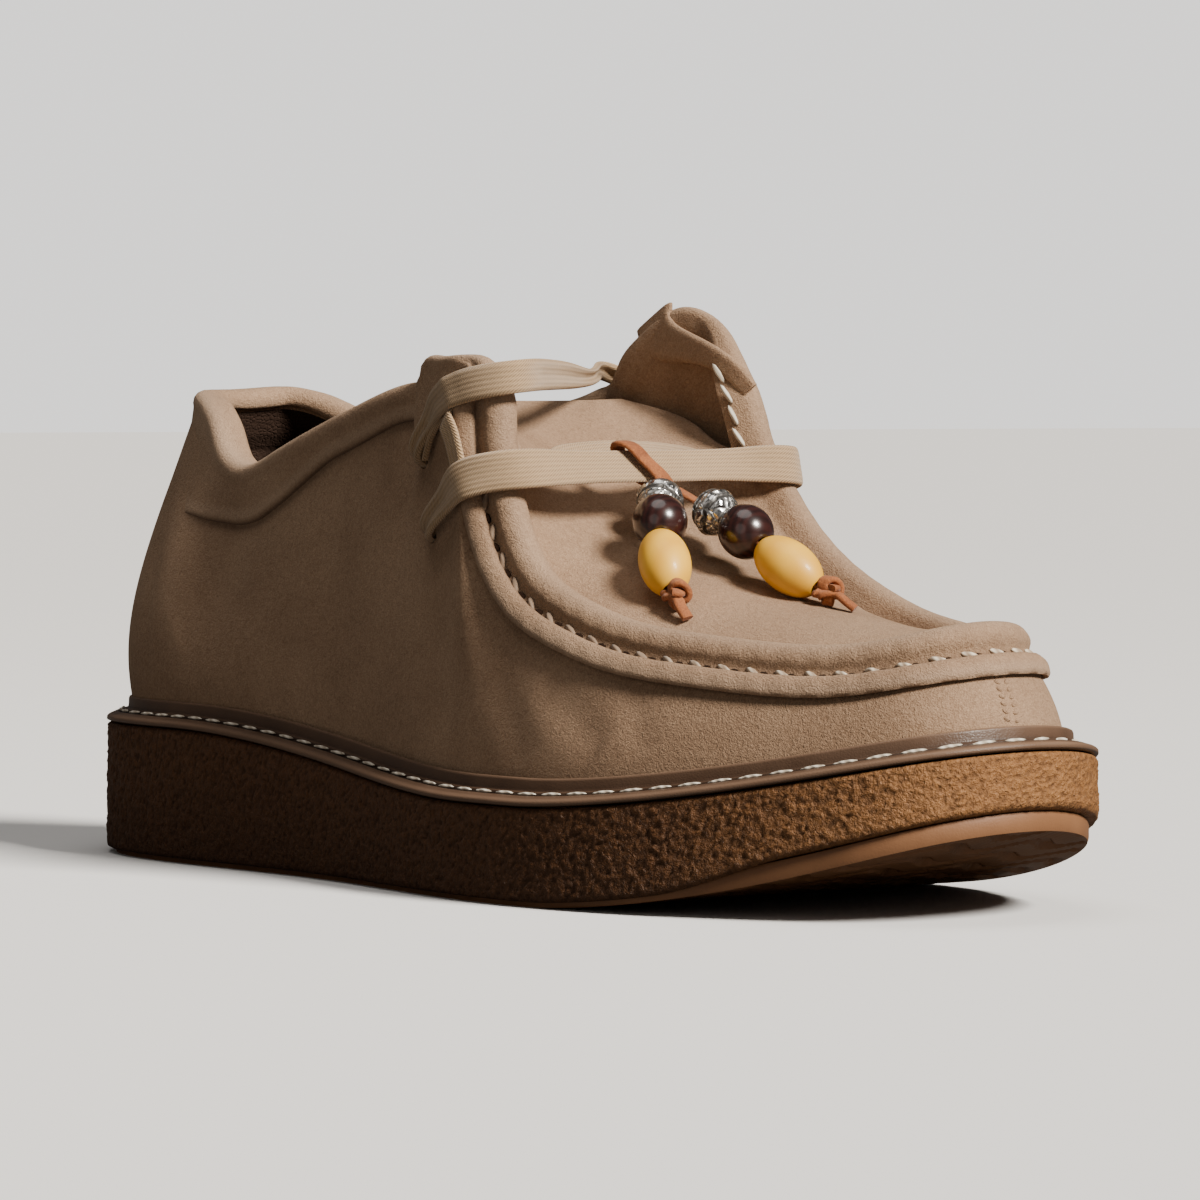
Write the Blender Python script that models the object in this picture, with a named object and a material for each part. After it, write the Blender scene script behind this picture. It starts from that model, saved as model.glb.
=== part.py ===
"""Derby shoe for the right foot, with a moccasin-style apron and a crepe wedge sole.

The shoe stands on z = 0 with its toe along +X and its lateral (outer) side along -Y. Every size
and table below is in millimetres, with x measured forward from the back of the heel, y from the
middle of the sole and z from the ground. MM turns them into the metres of the finished meshes.
"""
import math

import bmesh
import bpy
import numpy as np

MM = 0.001

# Driving sizes of the sole
SOLE_LENGTH = 272.0
HEEL_TIP_Y = -1.5
TOE_TIP_Y = 2.0
RIM_HEEL = 30.8
RIM_BALL = 21.8
RIM_TOE = 35.2
TOE_SPRING = 18.0
WEDGE_START = 0.18
WEDGE_END = 0.60
SPRING_START = 0.66
TREAD = 3.6
TREAD_INSET = 1.8
LUG_DEPTH = 1.4
LUG_PITCH = 10.0
GROOVE_SHARE = 0.3
WELT_THICKNESS = 2.6
WELT_LEDGE = 4.6
LIP_HEIGHT = 2.6
LIP_THICKNESS = 1.1
INSOLE_THICKNESS = 3.0
INSOLE_PLAY = 1.8
GAP = 0.3
FOOT_PLAY = 0.5
FOOT_INSET = WELT_LEDGE + LIP_THICKNESS + FOOT_PLAY

# Driving sizes of the upper
WALL = 2.0
WALL_CURVE = 2.0
HEEL_CURVE = 3.0
HEEL_BELLY = 2.2
ROLL_RADIUS = 3.9
CROWN_POWER = 2.4
THROAT_BOW = 9.0
WALL_INSET = 0.6
TONGUE_THICKNESS = 2.4
TONGUE_PLAY = 2.8
THROAT_FACE = (0.7, 0.0, 2.2)
EDGE_ROUND = 0.8
COLUMN_SPACING = 8.5
SEAM_COLUMNS = 18
WALL_ROWS = 5
APRON_POINTS = 9
TONGUE_ROWS = 8
TONGUE_POINTS = 11

# Driving sizes of the laces and the beaded thong
LACE_THICKNESS = 1.4
LACE_STEP = 3.2
EYELET_RADIUS = 1.6
EYELET_TILT = 12.0
THONG_WIDTH = 3.2
THONG_THICKNESS = 1.2
STRAND_RADIUS = 0.8
STRAND_STEP = 2.4
BEAD_HOLE = 1.5
BEAD_SIDES = 12
SILVER_RADIUS = 4.6
DARK_RADIUS = 5.3
YELLOW_RADIUS = 5.0
YELLOW_HALF_LENGTH = 7.1
KNOT_RADIUS = 2.3
KNOT_TAIL = 5.0

# Plan outline of the sole: x, y of the lateral edge, y of the medial edge
OUTLINE = (
    (4.0, -21.5, 19.0),
    (15.0, -32.8, 29.8),
    (36.0, -39.2, 35.0),
    (74.0, -40.4, 35.0),
    (110.0, -42.0, 37.5),
    (145.0, -47.6, 43.5),
    (176.0, -49.6, 49.0),
    (204.0, -45.5, 49.0),
    (228.0, -38.0, 44.5),
    (249.0, -29.5, 36.0),
    (264.0, -19.5, 24.0),
)

# Ribs of the upper's side wall, heel to toe: outline x of the rib's foot, outline x of its top,
# z of its top, inset of the top from the outline, how far the edge is a seam roll, edge radius
HEEL_RIB = (0.0, 0.0, 99.6, 17.5, 0.0, 2.6)
TOE_RIB = (272.0, 272.0, 50.9, 12.5, 1.0, 1.5)
LATERAL_RIBS = (
    (6.0, 5.0, 99.5, 19.5, 0.0, 2.6),
    (20.0, 17.0, 98.6, 20.8, 0.0, 2.6),
    (34.0, 31.0, 96.8, 20.8, 0.0, 2.6),
    (42.0, 39.0, 93.4, 20.2, 0.0, 2.6),
    (48.0, 46.0, 88.2, 19.0, 0.0, 2.6),
    (58.0, 56.0, 84.4, 17.0, 0.0, 2.6),
    (72.0, 71.0, 87.3, 15.0, 0.0, 2.6),
    (90.0, 89.0, 92.6, 14.0, 0.0, 2.6),
    (108.0, 107.0, 97.6, 14.0, 0.0, 2.3),
    (120.0, 119.5, 100.0, 14.8, 0.0, 1.5),
    (124.0, 123.0, 101.0, 15.4, 0.0, 1.5),
    (127.5, 124.5, 104.3, 16.0, 0.0, 1.5),
    (136.0, 135.0, 105.4, 16.0, 0.0, 1.5),
    (145.0, 145.0, 104.8, 15.0, 0.3, 1.5),
    (149.0, 149.5, 102.3, 14.0, 0.8, 1.5),
    (152.0, 151.5, 96.0, 13.0, 1.0, 1.5),
    (155.0, 153.0, 86.0, 12.5, 1.0, 1.5),
    (158.0, 155.0, 77.0, 12.5, 1.0, 1.5),
    (162.0, 159.5, 67.5, 12.5, 1.0, 1.5),
    (170.0, 168.5, 59.3, 12.5, 1.0, 1.5),
    (182.0, 182.0, 54.0, 12.5, 1.0, 1.5),
    (197.0, 197.0, 50.1, 12.5, 1.0, 1.5),
    (214.0, 214.0, 48.0, 12.5, 1.0, 1.5),
    (232.0, 232.0, 46.6, 12.5, 1.0, 1.5),
    (247.0, 247.0, 46.8, 12.5, 1.0, 1.5),
    (259.0, 259.0, 48.5, 12.5, 1.0, 1.5),
    (268.5, 268.5, 50.0, 12.5, 1.0, 1.5),
)
MEDIAL_RIBS = (
    (6.0, 5.0, 99.5, 17.5, 0.0, 2.6),
    (20.0, 17.0, 98.8, 17.5, 0.0, 2.6),
    (34.0, 31.0, 97.0, 16.6, 0.0, 2.6),
    (43.0, 41.0, 94.3, 16.0, 0.0, 2.6),
    (50.0, 49.0, 91.4, 15.8, 0.0, 2.6),
    (60.0, 59.0, 89.6, 15.3, 0.0, 2.6),
    (73.0, 72.0, 90.2, 14.6, 0.0, 2.6),
    (88.0, 87.0, 93.0, 14.0, 0.0, 2.6),
    (101.0, 100.0, 96.0, 14.0, 0.0, 2.3),
    (110.0, 110.0, 97.8, 14.6, 0.0, 1.7),
    (115.5, 116.0, 100.5, 15.2, 0.0, 1.5),
    (119.0, 119.0, 105.2, 15.8, 0.0, 1.5),
    (125.0, 125.0, 110.5, 16.3, 0.0, 1.5),
    (133.0, 133.5, 115.2, 16.5, 0.0, 1.5),
    (141.0, 141.5, 114.4, 16.2, 0.0, 1.5),
    (147.0, 147.5, 109.0, 15.2, 0.35, 1.5),
    (151.0, 150.5, 102.6, 14.0, 0.75, 1.5),
    (154.5, 153.5, 95.5, 13.0, 1.0, 1.5),
    (158.0, 156.0, 86.0, 12.5, 1.0, 1.5),
    (162.0, 160.0, 78.0, 12.5, 1.0, 1.5),
    (168.0, 166.0, 69.5, 12.5, 1.0, 1.5),
    (178.0, 177.0, 61.2, 12.5, 1.0, 1.5),
    (191.0, 191.0, 55.2, 12.5, 1.0, 1.5),
    (206.0, 206.0, 51.2, 12.5, 1.0, 1.5),
    (222.0, 222.0, 49.2, 12.5, 1.0, 1.5),
    (238.0, 238.0, 48.2, 12.5, 1.0, 1.5),
    (252.0, 252.0, 48.8, 12.5, 1.0, 1.5),
    (265.0, 265.0, 50.3, 12.5, 1.0, 1.5),
)
THROAT_Z = 86.0

# Centre line of the apron and tongue: x, z
CREST = (
    (120.0, 97.5),
    (130.0, 93.0),
    (140.0, 86.8),
    (150.0, 79.5),
    (162.0, 72.0),
    (180.0, 63.8),
    (200.0, 58.0),
    (220.0, 54.4),
    (240.0, 53.0),
    (256.0, 52.6),
)

# Tongue from behind the throat to its top edge: x of its side edges, x of its middle, y of each side
# edge, and how far the side edges rise above the middle
TONGUE = (
    (149.0, 140.5, -24.9, 24.0, 2.4),
    (142.0, 135.0, -25.6, 24.6, 2.0),
    (134.0, 129.0, -25.0, 23.4, 1.2),
    (125.0, 122.5, -22.0, 20.5, 0.4),
)

# Seam section as outward and upward offsets from the stitch groove: hanging lip, then roll
SEAM_LIP = ((1.3, -4.4), (3.1, -3.9), (3.4, -2.6), (1.6, -0.7), (0.0, -0.3))
SEAM_ROLL_CENTRE = (-4.2, 1.2)
SEAM_ROLL_ANGLES = (15.0, 52.0, 90.0, 128.0, 165.0)
SEAM_VALLEY = (-8.9, 0.4)
SEAM_LINING = ((-8.9, -1.8), (-5.0, -2.8), (-1.6, -6.0))

# Middle of each lace from the lateral eyelet to the medial one: x, y, z, width, and how far the
# band leans back from upright, in degrees
LACE_LOWER = (
    (139.0, -38.4, 71.2, 4.0, 40.0),
    (147.0, -39.9, 78.0, 6.5, 38.0),
    (152.0, -40.9, 80.8, 8.0, 30.0),
    (157.8, -38.0, 82.5, 8.0, 14.0),
    (162.4, -33.2, 83.2, 8.0, 14.0),
    (162.8, -22.0, 83.5, 8.0, 34.0),
    (163.5, 0.0, 83.6, 8.0, 40.0),
    (165.0, 22.0, 83.8, 8.0, 32.0),
    (168.0, 29.6, 83.8, 8.0, 18.0),
    (166.7, 34.0, 83.4, 8.0, 14.0),
    (163.0, 36.7, 82.8, 8.0, 14.0),
    (154.0, 38.1, 81.0, 7.5, 30.0),
    (147.0, 36.2, 78.0, 6.5, 38.0),
    (140.5, 34.9, 73.5, 4.0, 40.0),
)
LACE_UPPER = (
    (131.0, -34.9, 86.4, 4.0, 45.0),
    (137.0, -35.4, 91.5, 6.0, 45.0),
    (145.0, -39.3, 97.0, 8.0, 40.0),
    (152.5, -38.8, 100.2, 8.0, 20.0),
    (159.6, -32.8, 100.6, 7.5, 12.0),
    (152.5, -20.0, 100.5, 7.5, 4.0),
    (143.0, -8.0, 100.8, 7.5, 0.0),
    (121.0, 16.5, 101.5, 6.0, 0.0),
    (117.4, 20.0, 102.4, 4.5, 0.0),
    (115.0, 23.6, 102.6, 4.5, -10.0),
    (117.2, 27.0, 100.6, 4.5, -35.0),
    (120.8, 28.0, 95.5, 4.5, -55.0),
    (125.0, 29.7, 89.0, 4.0, -60.0),
)

# Thong looped round the lower lace: distances from the lace's middle line along its width and
# outward from its face, and y
THONG_LOOP = (
    (5.5, 0.0, -9.6),
    (3.4, 2.3, -8.4),
    (-3.4, 2.3, -1.8),
    (-5.5, 0.0, -0.2),
    (-3.4, -2.3, -1.2),
    (3.4, -2.3, -8.8),
)

# Thong strands: where each leaves the loop, then the middles of its silver, dark and yellow bead
# and of its knot
STRANDS = {
    "lateral": (
        (168.0, -2.1, 78.4),
        (169.9, -5.2, 76.6),
        (177.0, -10.9, 73.0),
        (185.2, -16.3, 65.2),
        (191.7, -18.6, 59.4),
    ),
    "medial": (
        (168.3, 0.4, 78.9),
        (178.0, 2.2, 74.6),
        (187.6, 2.0, 71.0),
        (198.3, 3.9, 64.4),
        (206.6, 6.9, 59.8),
    ),
}

# Eyelets: x, y and z of the hole's middle
EYELETS = (
    (137.5, -36.6, 70.0),
    (129.5, -33.0, 84.5),
    (139.0, 33.0, 71.5),
    (127.0, 28.4, 85.5),
)


def spline(knots, values, places):
    """Natural cubic spline through the values at the knots, read at the given places."""
    k = np.asarray(knots, float)
    v = np.asarray(values, float).reshape(len(k), -1)
    at = np.atleast_1d(np.asarray(places, float))
    h = np.diff(k)[:, None]
    matrix = np.eye(len(k))
    bend = np.zeros_like(v)
    for i in range(1, len(k) - 1):
        matrix[i, i - 1:i + 2] = h[i - 1, 0], 2.0 * (h[i - 1, 0] + h[i, 0]), h[i, 0]
        bend[i] = 6.0 * ((v[i + 1] - v[i]) / h[i] - (v[i] - v[i - 1]) / h[i - 1])
    bend = np.linalg.solve(matrix, bend)
    i = np.clip(np.searchsorted(k, at, side="right") - 1, 0, len(k) - 2)
    t = at[:, None] - k[i][:, None]
    slope = (v[i + 1] - v[i]) / h[i] - h[i] * (2.0 * bend[i] + bend[i + 1]) / 6.0
    return v[i] + t * slope + t ** 2 * bend[i] / 2.0 + t ** 3 * (bend[i + 1] - bend[i]) / (6.0 * h[i])


def ease(value):
    """Smooth step from 0 to 1 over 0..1."""
    t = np.clip(value, 0.0, 1.0)
    return t * t * (3.0 - 2.0 * t)


def make_outline():
    """Dense closed outline: parameter 0..1 along the lateral side, 1..2 back along the medial."""
    lateral = [(x, left) for x, left, right in OUTLINE]
    medial = [(x, right) for x, left, right in reversed(OUTLINE)]
    loop = [(0.0, HEEL_TIP_Y)] + lateral + [(SOLE_LENGTH, TOE_TIP_Y)] + medial
    points = np.array(loop[-3:] + loop + loop[:4], float)
    knots = np.concatenate(([0.0], np.cumsum(np.linalg.norm(np.diff(points, axis=0), axis=1))))
    start, toe, end = knots[3], knots[3 + len(lateral) + 1], knots[3 + len(loop)]
    halves = []
    for low, high in ((start, toe), (toe, end)):
        half = spline(knots, points, np.linspace(low, high, 500))
        run = np.concatenate(([0.0], np.cumsum(np.linalg.norm(np.diff(half, axis=0), axis=1))))
        halves.append((run / run[-1], half))
    return halves


OUTLINE_HALVES = make_outline()


def outline_point(s):
    """Plan points and outward normals of the sole's edge at parameters s."""
    s = np.mod(np.atleast_1d(np.asarray(s, float)), 2.0)

    def position(p):
        p = np.mod(p, 2.0)
        side = (p >= 1.0).astype(int)
        xy = np.empty((len(p), 2))
        for half in (0, 1):
            run, points = OUTLINE_HALVES[half]
            chosen = side == half
            for axis in (0, 1):
                xy[chosen, axis] = np.interp(p[chosen] - half, run, points[:, axis])
        return xy

    step = 0.004
    along = position(s + step) - position(s - step)
    along /= np.linalg.norm(along, axis=1)[:, None]
    return position(s), np.column_stack((along[:, 1], -along[:, 0]))


def outline_parameter(x, medial):
    """Parameter of the outline point at x on one side."""
    run, points = OUTLINE_HALVES[1 if medial else 0]
    if medial:
        return 1.0 + float(np.interp(-x, -points[:, 0], run))
    return float(np.interp(x, points[:, 0], run))


def sole_ring(count, inset, height):
    """Closed ring of points on the inset outline, with z given by a function of x."""
    xy, normal = outline_point(np.arange(count) * 2.0 / count)
    xy = xy - normal * inset
    return np.column_stack((xy, height(xy[:, 0])))


def spring(x):
    """Height of the sole's underside, rising to the toe."""
    start = SPRING_START * SOLE_LENGTH
    return TOE_SPRING * np.clip((x - start) / (SOLE_LENGTH - start), 0.0, 1.0) ** 1.8


def rim(x):
    """Height of the welt's top: high at the heel, low at the ball, raised at the toe."""
    wedge = ease((x / SOLE_LENGTH - WEDGE_START) / (WEDGE_END - WEDGE_START))
    start = SPRING_START * SOLE_LENGTH
    lift = np.clip((x - start) / (SOLE_LENGTH - start), 0.0, 1.0) ** 1.6
    return RIM_HEEL + (RIM_BALL - RIM_HEEL) * wedge + (RIM_TOE - RIM_BALL) * lift


def seat(x):
    """Height at which the welt, the upper and the insole stand, just above the midsole."""
    return rim(x) - WELT_THICKNESS


def new_object(name, vertices, faces, material, smooth_angle=40.0):
    """Object from points in millimetres, with its faces turned outward."""
    placed = (np.asarray(vertices, float) - (SOLE_LENGTH / 2.0, 0.0, 0.0)) * MM
    mesh = bpy.data.meshes.new(name)
    mesh.from_pydata(placed.tolist(), [], [tuple(face) for face in faces])
    bm = bmesh.new()
    bm.from_mesh(mesh)
    bmesh.ops.recalc_face_normals(bm, faces=bm.faces)
    bm.to_mesh(mesh)
    bm.free()
    mesh.shade_smooth()
    mesh.set_sharp_from_angle(angle=math.radians(smooth_angle))
    mesh.materials.append(material)
    item = bpy.data.objects.new(name, mesh)
    bpy.context.scene.collection.objects.link(item)
    return item


def ladder(ring):
    """Faces that close a ring by rungs from each lateral point to its medial partner."""
    count = len(ring)
    half = count // 2
    faces = [(ring[0], ring[1], ring[-1]), (ring[half - 1], ring[half], ring[half + 1])]
    for i in range(1, half - 1):
        faces.append((ring[i], ring[i + 1], ring[count - i - 1], ring[count - i]))
    return faces


def bridge(first, second, closed=True):
    """Quads between two rows of vertex numbers."""
    count = len(first)
    last = count if closed else count - 1
    return [(first[i], first[(i + 1) % count], second[(i + 1) % count], second[i]) for i in range(last)]


def stacked_rings(name, rings, material, ring_shaped=False, smooth_angle=40.0):
    """Solid from rings of equal count, capped at both ends, or closed on itself."""
    count = len(rings[0])
    rows = [list(range(i * count, (i + 1) * count)) for i in range(len(rings))]
    faces = []
    for low, high in zip(rows, rows[1:]):
        faces += bridge(low, high)
    if ring_shaped:
        faces += bridge(rows[-1], rows[0])
    else:
        faces += ladder(rows[0]) + ladder(rows[-1])
    return new_object(name, np.vstack(rings), faces, material, smooth_angle)


def make_material(name, colour, roughness, metallic=0.0):
    material = bpy.data.materials.new(name)
    material.use_nodes = True
    shader = material.node_tree.nodes["Principled BSDF"]
    shader.inputs["Base Color"].default_value = (*colour, 1.0)
    shader.inputs["Roughness"].default_value = roughness
    shader.inputs["Metallic"].default_value = metallic
    return material


def make_outsole(material):
    """Tread layer: cross bars stand down to the ground from a thin sheet."""
    first, last = TREAD_INSET + 0.6, SOLE_LENGTH - TREAD_INSET - 0.6
    bars = int((last - first) // LUG_PITCH)
    pitch = (last - first) / bars
    slope = 0.7
    cuts = [(first, 0.0)]
    for bar in range(bars):
        start = first + bar * pitch
        groove = start + pitch * (1.0 - GROOVE_SHARE)
        if bar:
            cuts += [(start + slope, 0.0)]
        cuts += [(groove - slope, 0.0), (groove, LUG_DEPTH), (start + pitch, LUG_DEPTH)]
    cuts[-1] = (last, 0.0)
    cuts[-2:-1] = []
    x = np.array([cut[0] for cut in cuts])
    depth = np.array([cut[1] for cut in cuts])
    sides = []
    for medial in (False, True):
        run, points = OUTLINE_HALVES[1 if medial else 0]
        xy, normal = outline_point(run + (1.0 if medial else 0.0))
        edge = xy - normal * TREAD_INSET
        order = np.argsort(edge[:, 0])
        sides.append(np.interp(x, edge[order, 0], edge[order, 1]))
    vertices = []
    for i in range(len(x)):
        low = spring(x[i]) + depth[i]
        high = spring(x[i]) + TREAD
        vertices += [(x[i], sides[0][i], low), (x[i], sides[1][i], low)]
        vertices += [(x[i], sides[1][i], high), (x[i], sides[0][i], high)]
    rows = [list(range(4 * i, 4 * i + 4)) for i in range(len(x))]
    faces = [tuple(rows[0]), tuple(rows[-1])]
    for back, front in zip(rows, rows[1:]):
        faces += bridge(back, front)
    return new_object("outsole", vertices, faces, material, 30.0)


def make_midsole(material):
    """Crepe wedge between the tread and the welt, its wall nearly upright."""
    bottom = lambda x: spring(x) + TREAD + GAP
    top = lambda x: seat(x) - GAP
    rows = (
        (TREAD_INSET, lambda x: bottom(x)),
        (0.5, lambda x: bottom(x)),
        (0.0, lambda x: bottom(x) + 1.2),
        (0.3, lambda x: top(x) - 1.0),
        (1.0, lambda x: top(x)),
        (WELT_LEDGE + 4.0, lambda x: top(x)),
    )
    rings = [sole_ring(72, inset, height) for inset, height in rows]
    return stacked_rings("midsole", rings, material)


def make_welt(material):
    """Stitched ledge with an upright lip that hugs the foot of the upper."""
    inner = WELT_LEDGE + LIP_THICKNESS
    rows = (
        (0.4, lambda x: seat(x)),
        (0.0, lambda x: seat(x) + 0.8),
        (0.4, lambda x: rim(x) - 0.4),
        (1.2, lambda x: rim(x)),
        (WELT_LEDGE - 0.2, lambda x: rim(x)),
        (WELT_LEDGE + 0.2, lambda x: rim(x) + LIP_HEIGHT),
        (inner, lambda x: rim(x) + LIP_HEIGHT),
        (inner, lambda x: seat(x)),
    )
    rings = [sole_ring(80, inset, height) for inset, height in rows]
    return stacked_rings("welt", rings, material, ring_shaped=True, smooth_angle=50.0)


def make_insole(material):
    """Footbed inside the foot of the upper."""
    inset = FOOT_INSET + WALL + INSOLE_PLAY
    rows = (
        (inset + 0.8, lambda x: seat(x)),
        (inset, lambda x: seat(x) + 0.8),
        (inset, lambda x: seat(x) + INSOLE_THICKNESS - 0.8),
        (inset + 0.8, lambda x: seat(x) + INSOLE_THICKNESS),
    )
    rings = [sole_ring(64, inset_now, height) for inset_now, height in rows]
    return stacked_rings("insole", rings, material)


def rib_columns(spacing, seam_count):
    """Columns of the upper: foot and top parameters, top z, inset, roll share and edge radius.

    Both sides have the same number of columns from the throat to the toe, so that rungs join them.
    """
    rows = []
    for medial, ribs in ((False, (HEEL_RIB,) + LATERAL_RIBS + (TOE_RIB,)), (True, MEDIAL_RIBS[::-1])):
        for foot, top, z, inset, roll, edge in ribs:
            ends = (outline_parameter(foot, medial), outline_parameter(top, medial))
            rows.append(ends + (z, inset, roll, edge))
    count = len(rows)
    table = np.array(rows[-3:] + rows + rows[:4])
    table[:3, :2] -= 2.0
    table[count + 3:, :2] += 2.0
    xy, normal = outline_point(table[:, 1])
    tops = np.column_stack((xy - normal * table[:, 3:4], table[:, 2]))
    run = np.concatenate(([0.0], np.cumsum(np.linalg.norm(np.diff(tops, axis=0), axis=1))))
    toe = 3 + len(LATERAL_RIBS) + 1
    first = next(i for i in range(3, toe) if table[i, 4] == 1.0 and table[i, 2] <= THROAT_Z)
    last = next(i for i in range(count + 2, toe, -1) if table[i, 4] == 1.0 and table[i, 2] <= THROAT_Z)

    def plain(start, end):
        places = []
        for i in range(start, end):
            parts = max(1, round((run[i + 1] - run[i]) / spacing))
            places += list(np.linspace(run[i], run[i + 1], parts, endpoint=False))
        return places

    before = plain(3, first)
    lateral_seam = list(np.linspace(run[first], run[toe], seam_count, endpoint=False))
    medial_seam = list(np.linspace(run[toe], run[last], seam_count, endpoint=False))
    columns = spline(run, table, before + lateral_seam + medial_seam + plain(last, count + 3))
    return columns, len(before)


def grid_normals(grid, closed):
    """Unit normals of a grid of points, rows by columns."""
    if closed:
        along = np.roll(grid, -1, axis=1) - np.roll(grid, 1, axis=1)
    else:
        along = np.gradient(grid, axis=1)
    across = np.gradient(grid, axis=0)
    normal = np.cross(along, across)
    return normal / np.linalg.norm(normal, axis=2)[:, :, None]


def upper_frames(columns):
    """Top edge of the upper: points, outward and upward directions at each column."""
    xy, normal = outline_point(columns[:, 1])
    top = np.column_stack((xy - normal * columns[:, 3:4], columns[:, 2]))
    along = np.roll(top, -1, axis=0) - np.roll(top, 1, axis=0)
    along /= np.linalg.norm(along, axis=1)[:, None]
    outward = np.column_stack((normal, np.zeros(len(normal))))
    outward -= along * (outward * along).sum(axis=1)[:, None]
    outward /= np.linalg.norm(outward, axis=1)[:, None]
    upward = np.cross(outward, along)
    return top, outward, upward


def edge_section(radius):
    """Offsets of the edge rows for a plain rounded edge and for the seam, as two equal lists."""
    seam = list(SEAM_LIP)
    for angle in SEAM_ROLL_ANGLES:
        turn = math.radians(angle)
        seam.append((SEAM_ROLL_CENTRE[0] + ROLL_RADIUS * math.cos(turn),
                     SEAM_ROLL_CENTRE[1] + ROLL_RADIUS * math.sin(turn)))
    seam.append(SEAM_VALLEY)
    plain = [(radius, -radius - 7.0 + 7.0 * i / 4.0) for i in range(4)]
    for i in range(len(seam) - 4):
        turn = math.pi * i / (len(seam) - 5)
        plain.append((radius * math.cos(turn), radius * math.sin(turn) - radius))
    lining = [(-radius, -radius - 2.0), (-radius + 0.1, -radius - 4.5), (WALL_INSET - radius, -radius - 8.0)]
    return plain, seam, lining


def blended(frames, columns, plain, seam):
    """Row of points at one offset of the edge section, plain or seam by each column's roll share."""
    top, outward, upward = frames
    roll = np.clip(columns[:, 4:5], 0.0, 1.0)
    offset = plain * (1.0 - roll) + np.array(seam) * roll
    return top + outward * offset[:, 0:1] + upward * offset[:, 1:2]


def edge_rows(columns):
    """Outer rows of the edge, then the top rows of the lining."""
    frames = upper_frames(columns)
    sections = [edge_section(radius) for radius in columns[:, 5]]
    outer = []
    for i, seam in enumerate(sections[0][1]):
        plain = np.array([section[0][i] for section in sections])
        outer.append(blended(frames, columns, plain, seam))
    inner = []
    for i, seam in enumerate(SEAM_LINING):
        plain = np.array([section[2][i] for section in sections])
        inner.append(blended(frames, columns, plain, seam))
    return outer, inner


def upper_skins(columns, wall_rows):
    """Outer skin from foot to edge and inner skin from edge to foot, rows by columns."""
    edge, lining = edge_rows(columns)
    xy, normal = outline_point(columns[:, 0])
    foot_xy = xy - normal * FOOT_INSET
    foot = np.column_stack((foot_xy, seat(foot_xy[:, 0])))
    heel = 1.0 - ease((foot[:, 0:1] - 20.0) / 90.0)
    wall = []
    for i in range(wall_rows):
        v = i / wall_rows
        lean = v ** (WALL_CURVE + (HEEL_CURVE - WALL_CURVE) * heel)
        belly = HEEL_BELLY * math.sin(math.pi * v) ** 3 * heel
        flat = foot[:, :2] + (edge[0] - foot)[:, :2] * lean + normal * belly
        wall.append(np.column_stack((flat, foot[:, 2] + (edge[0] - foot)[:, 2] * v)))
    wall = np.array(wall)
    faced = grid_normals(np.concatenate((wall, edge[:1])), closed=True)[:wall_rows]
    faced[0, :, 2] = 0.0
    faced /= np.linalg.norm(faced, axis=2)[:, :, None]
    away = np.column_stack((normal, np.zeros(len(normal))))
    faced *= np.sign((faced * away).sum(axis=2))[:, :, None]
    back = wall - faced * WALL
    return np.concatenate((wall, edge)), np.concatenate((lining, back[::-1]))


def crest(x):
    """Height of the apron's and tongue's centre line."""
    table = np.array(CREST)
    return spline(table[:, 0], table[:, 1], x)[:, 0]


def apron_grid(left, right, points, drop):
    """Rungs between two edge rows, crowned to the crest and bowed back at the throat."""
    q = np.linspace(0.0, 1.0, points)
    middle = 1.0 - np.abs(2.0 * q - 1.0) ** CROWN_POWER
    rungs = []
    for j in range(len(left)):
        rung = left[j] + (right[j] - left[j]) * q[:, None]
        from_throat = (left[j, 0] + right[j, 0] - left[0, 0] - right[0, 0]) / 2.0
        bow = THROAT_BOW * (1.0 - ease(from_throat / 40.0))
        rung[:, 0] -= bow * (1.0 - (2.0 * q - 1.0) ** 2)
        width = np.linalg.norm(right[j] - left[j])
        share = ease(width / 30.0)
        half = len(q) // 2
        rise = crest(rung[half, 0])[0] - drop - rung[half, 2]
        rung[:, 2] += rise * middle * share
        rungs.append(rung)
    return np.array(rungs)


def apron_faces(rungs, left, right, tip, start):
    """Vertices and faces of a laddered patch whose rung ends and tip are vertices already."""
    points = rungs[:, 1:-1].reshape(-1, 3)
    inside = rungs.shape[1] - 2
    rows = []
    for j in range(len(rungs)):
        middle = [start + j * inside + k for k in range(inside)]
        rows.append([left[j]] + middle + [right[j]])
    faces = []
    for back, front in zip(rows, rows[1:]):
        faces += bridge(back, front, closed=False)
    faces += [(rows[-1][k], rows[-1][k + 1], tip) for k in range(len(rows[-1]) - 1)]
    return points, faces, rows[0]


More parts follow.
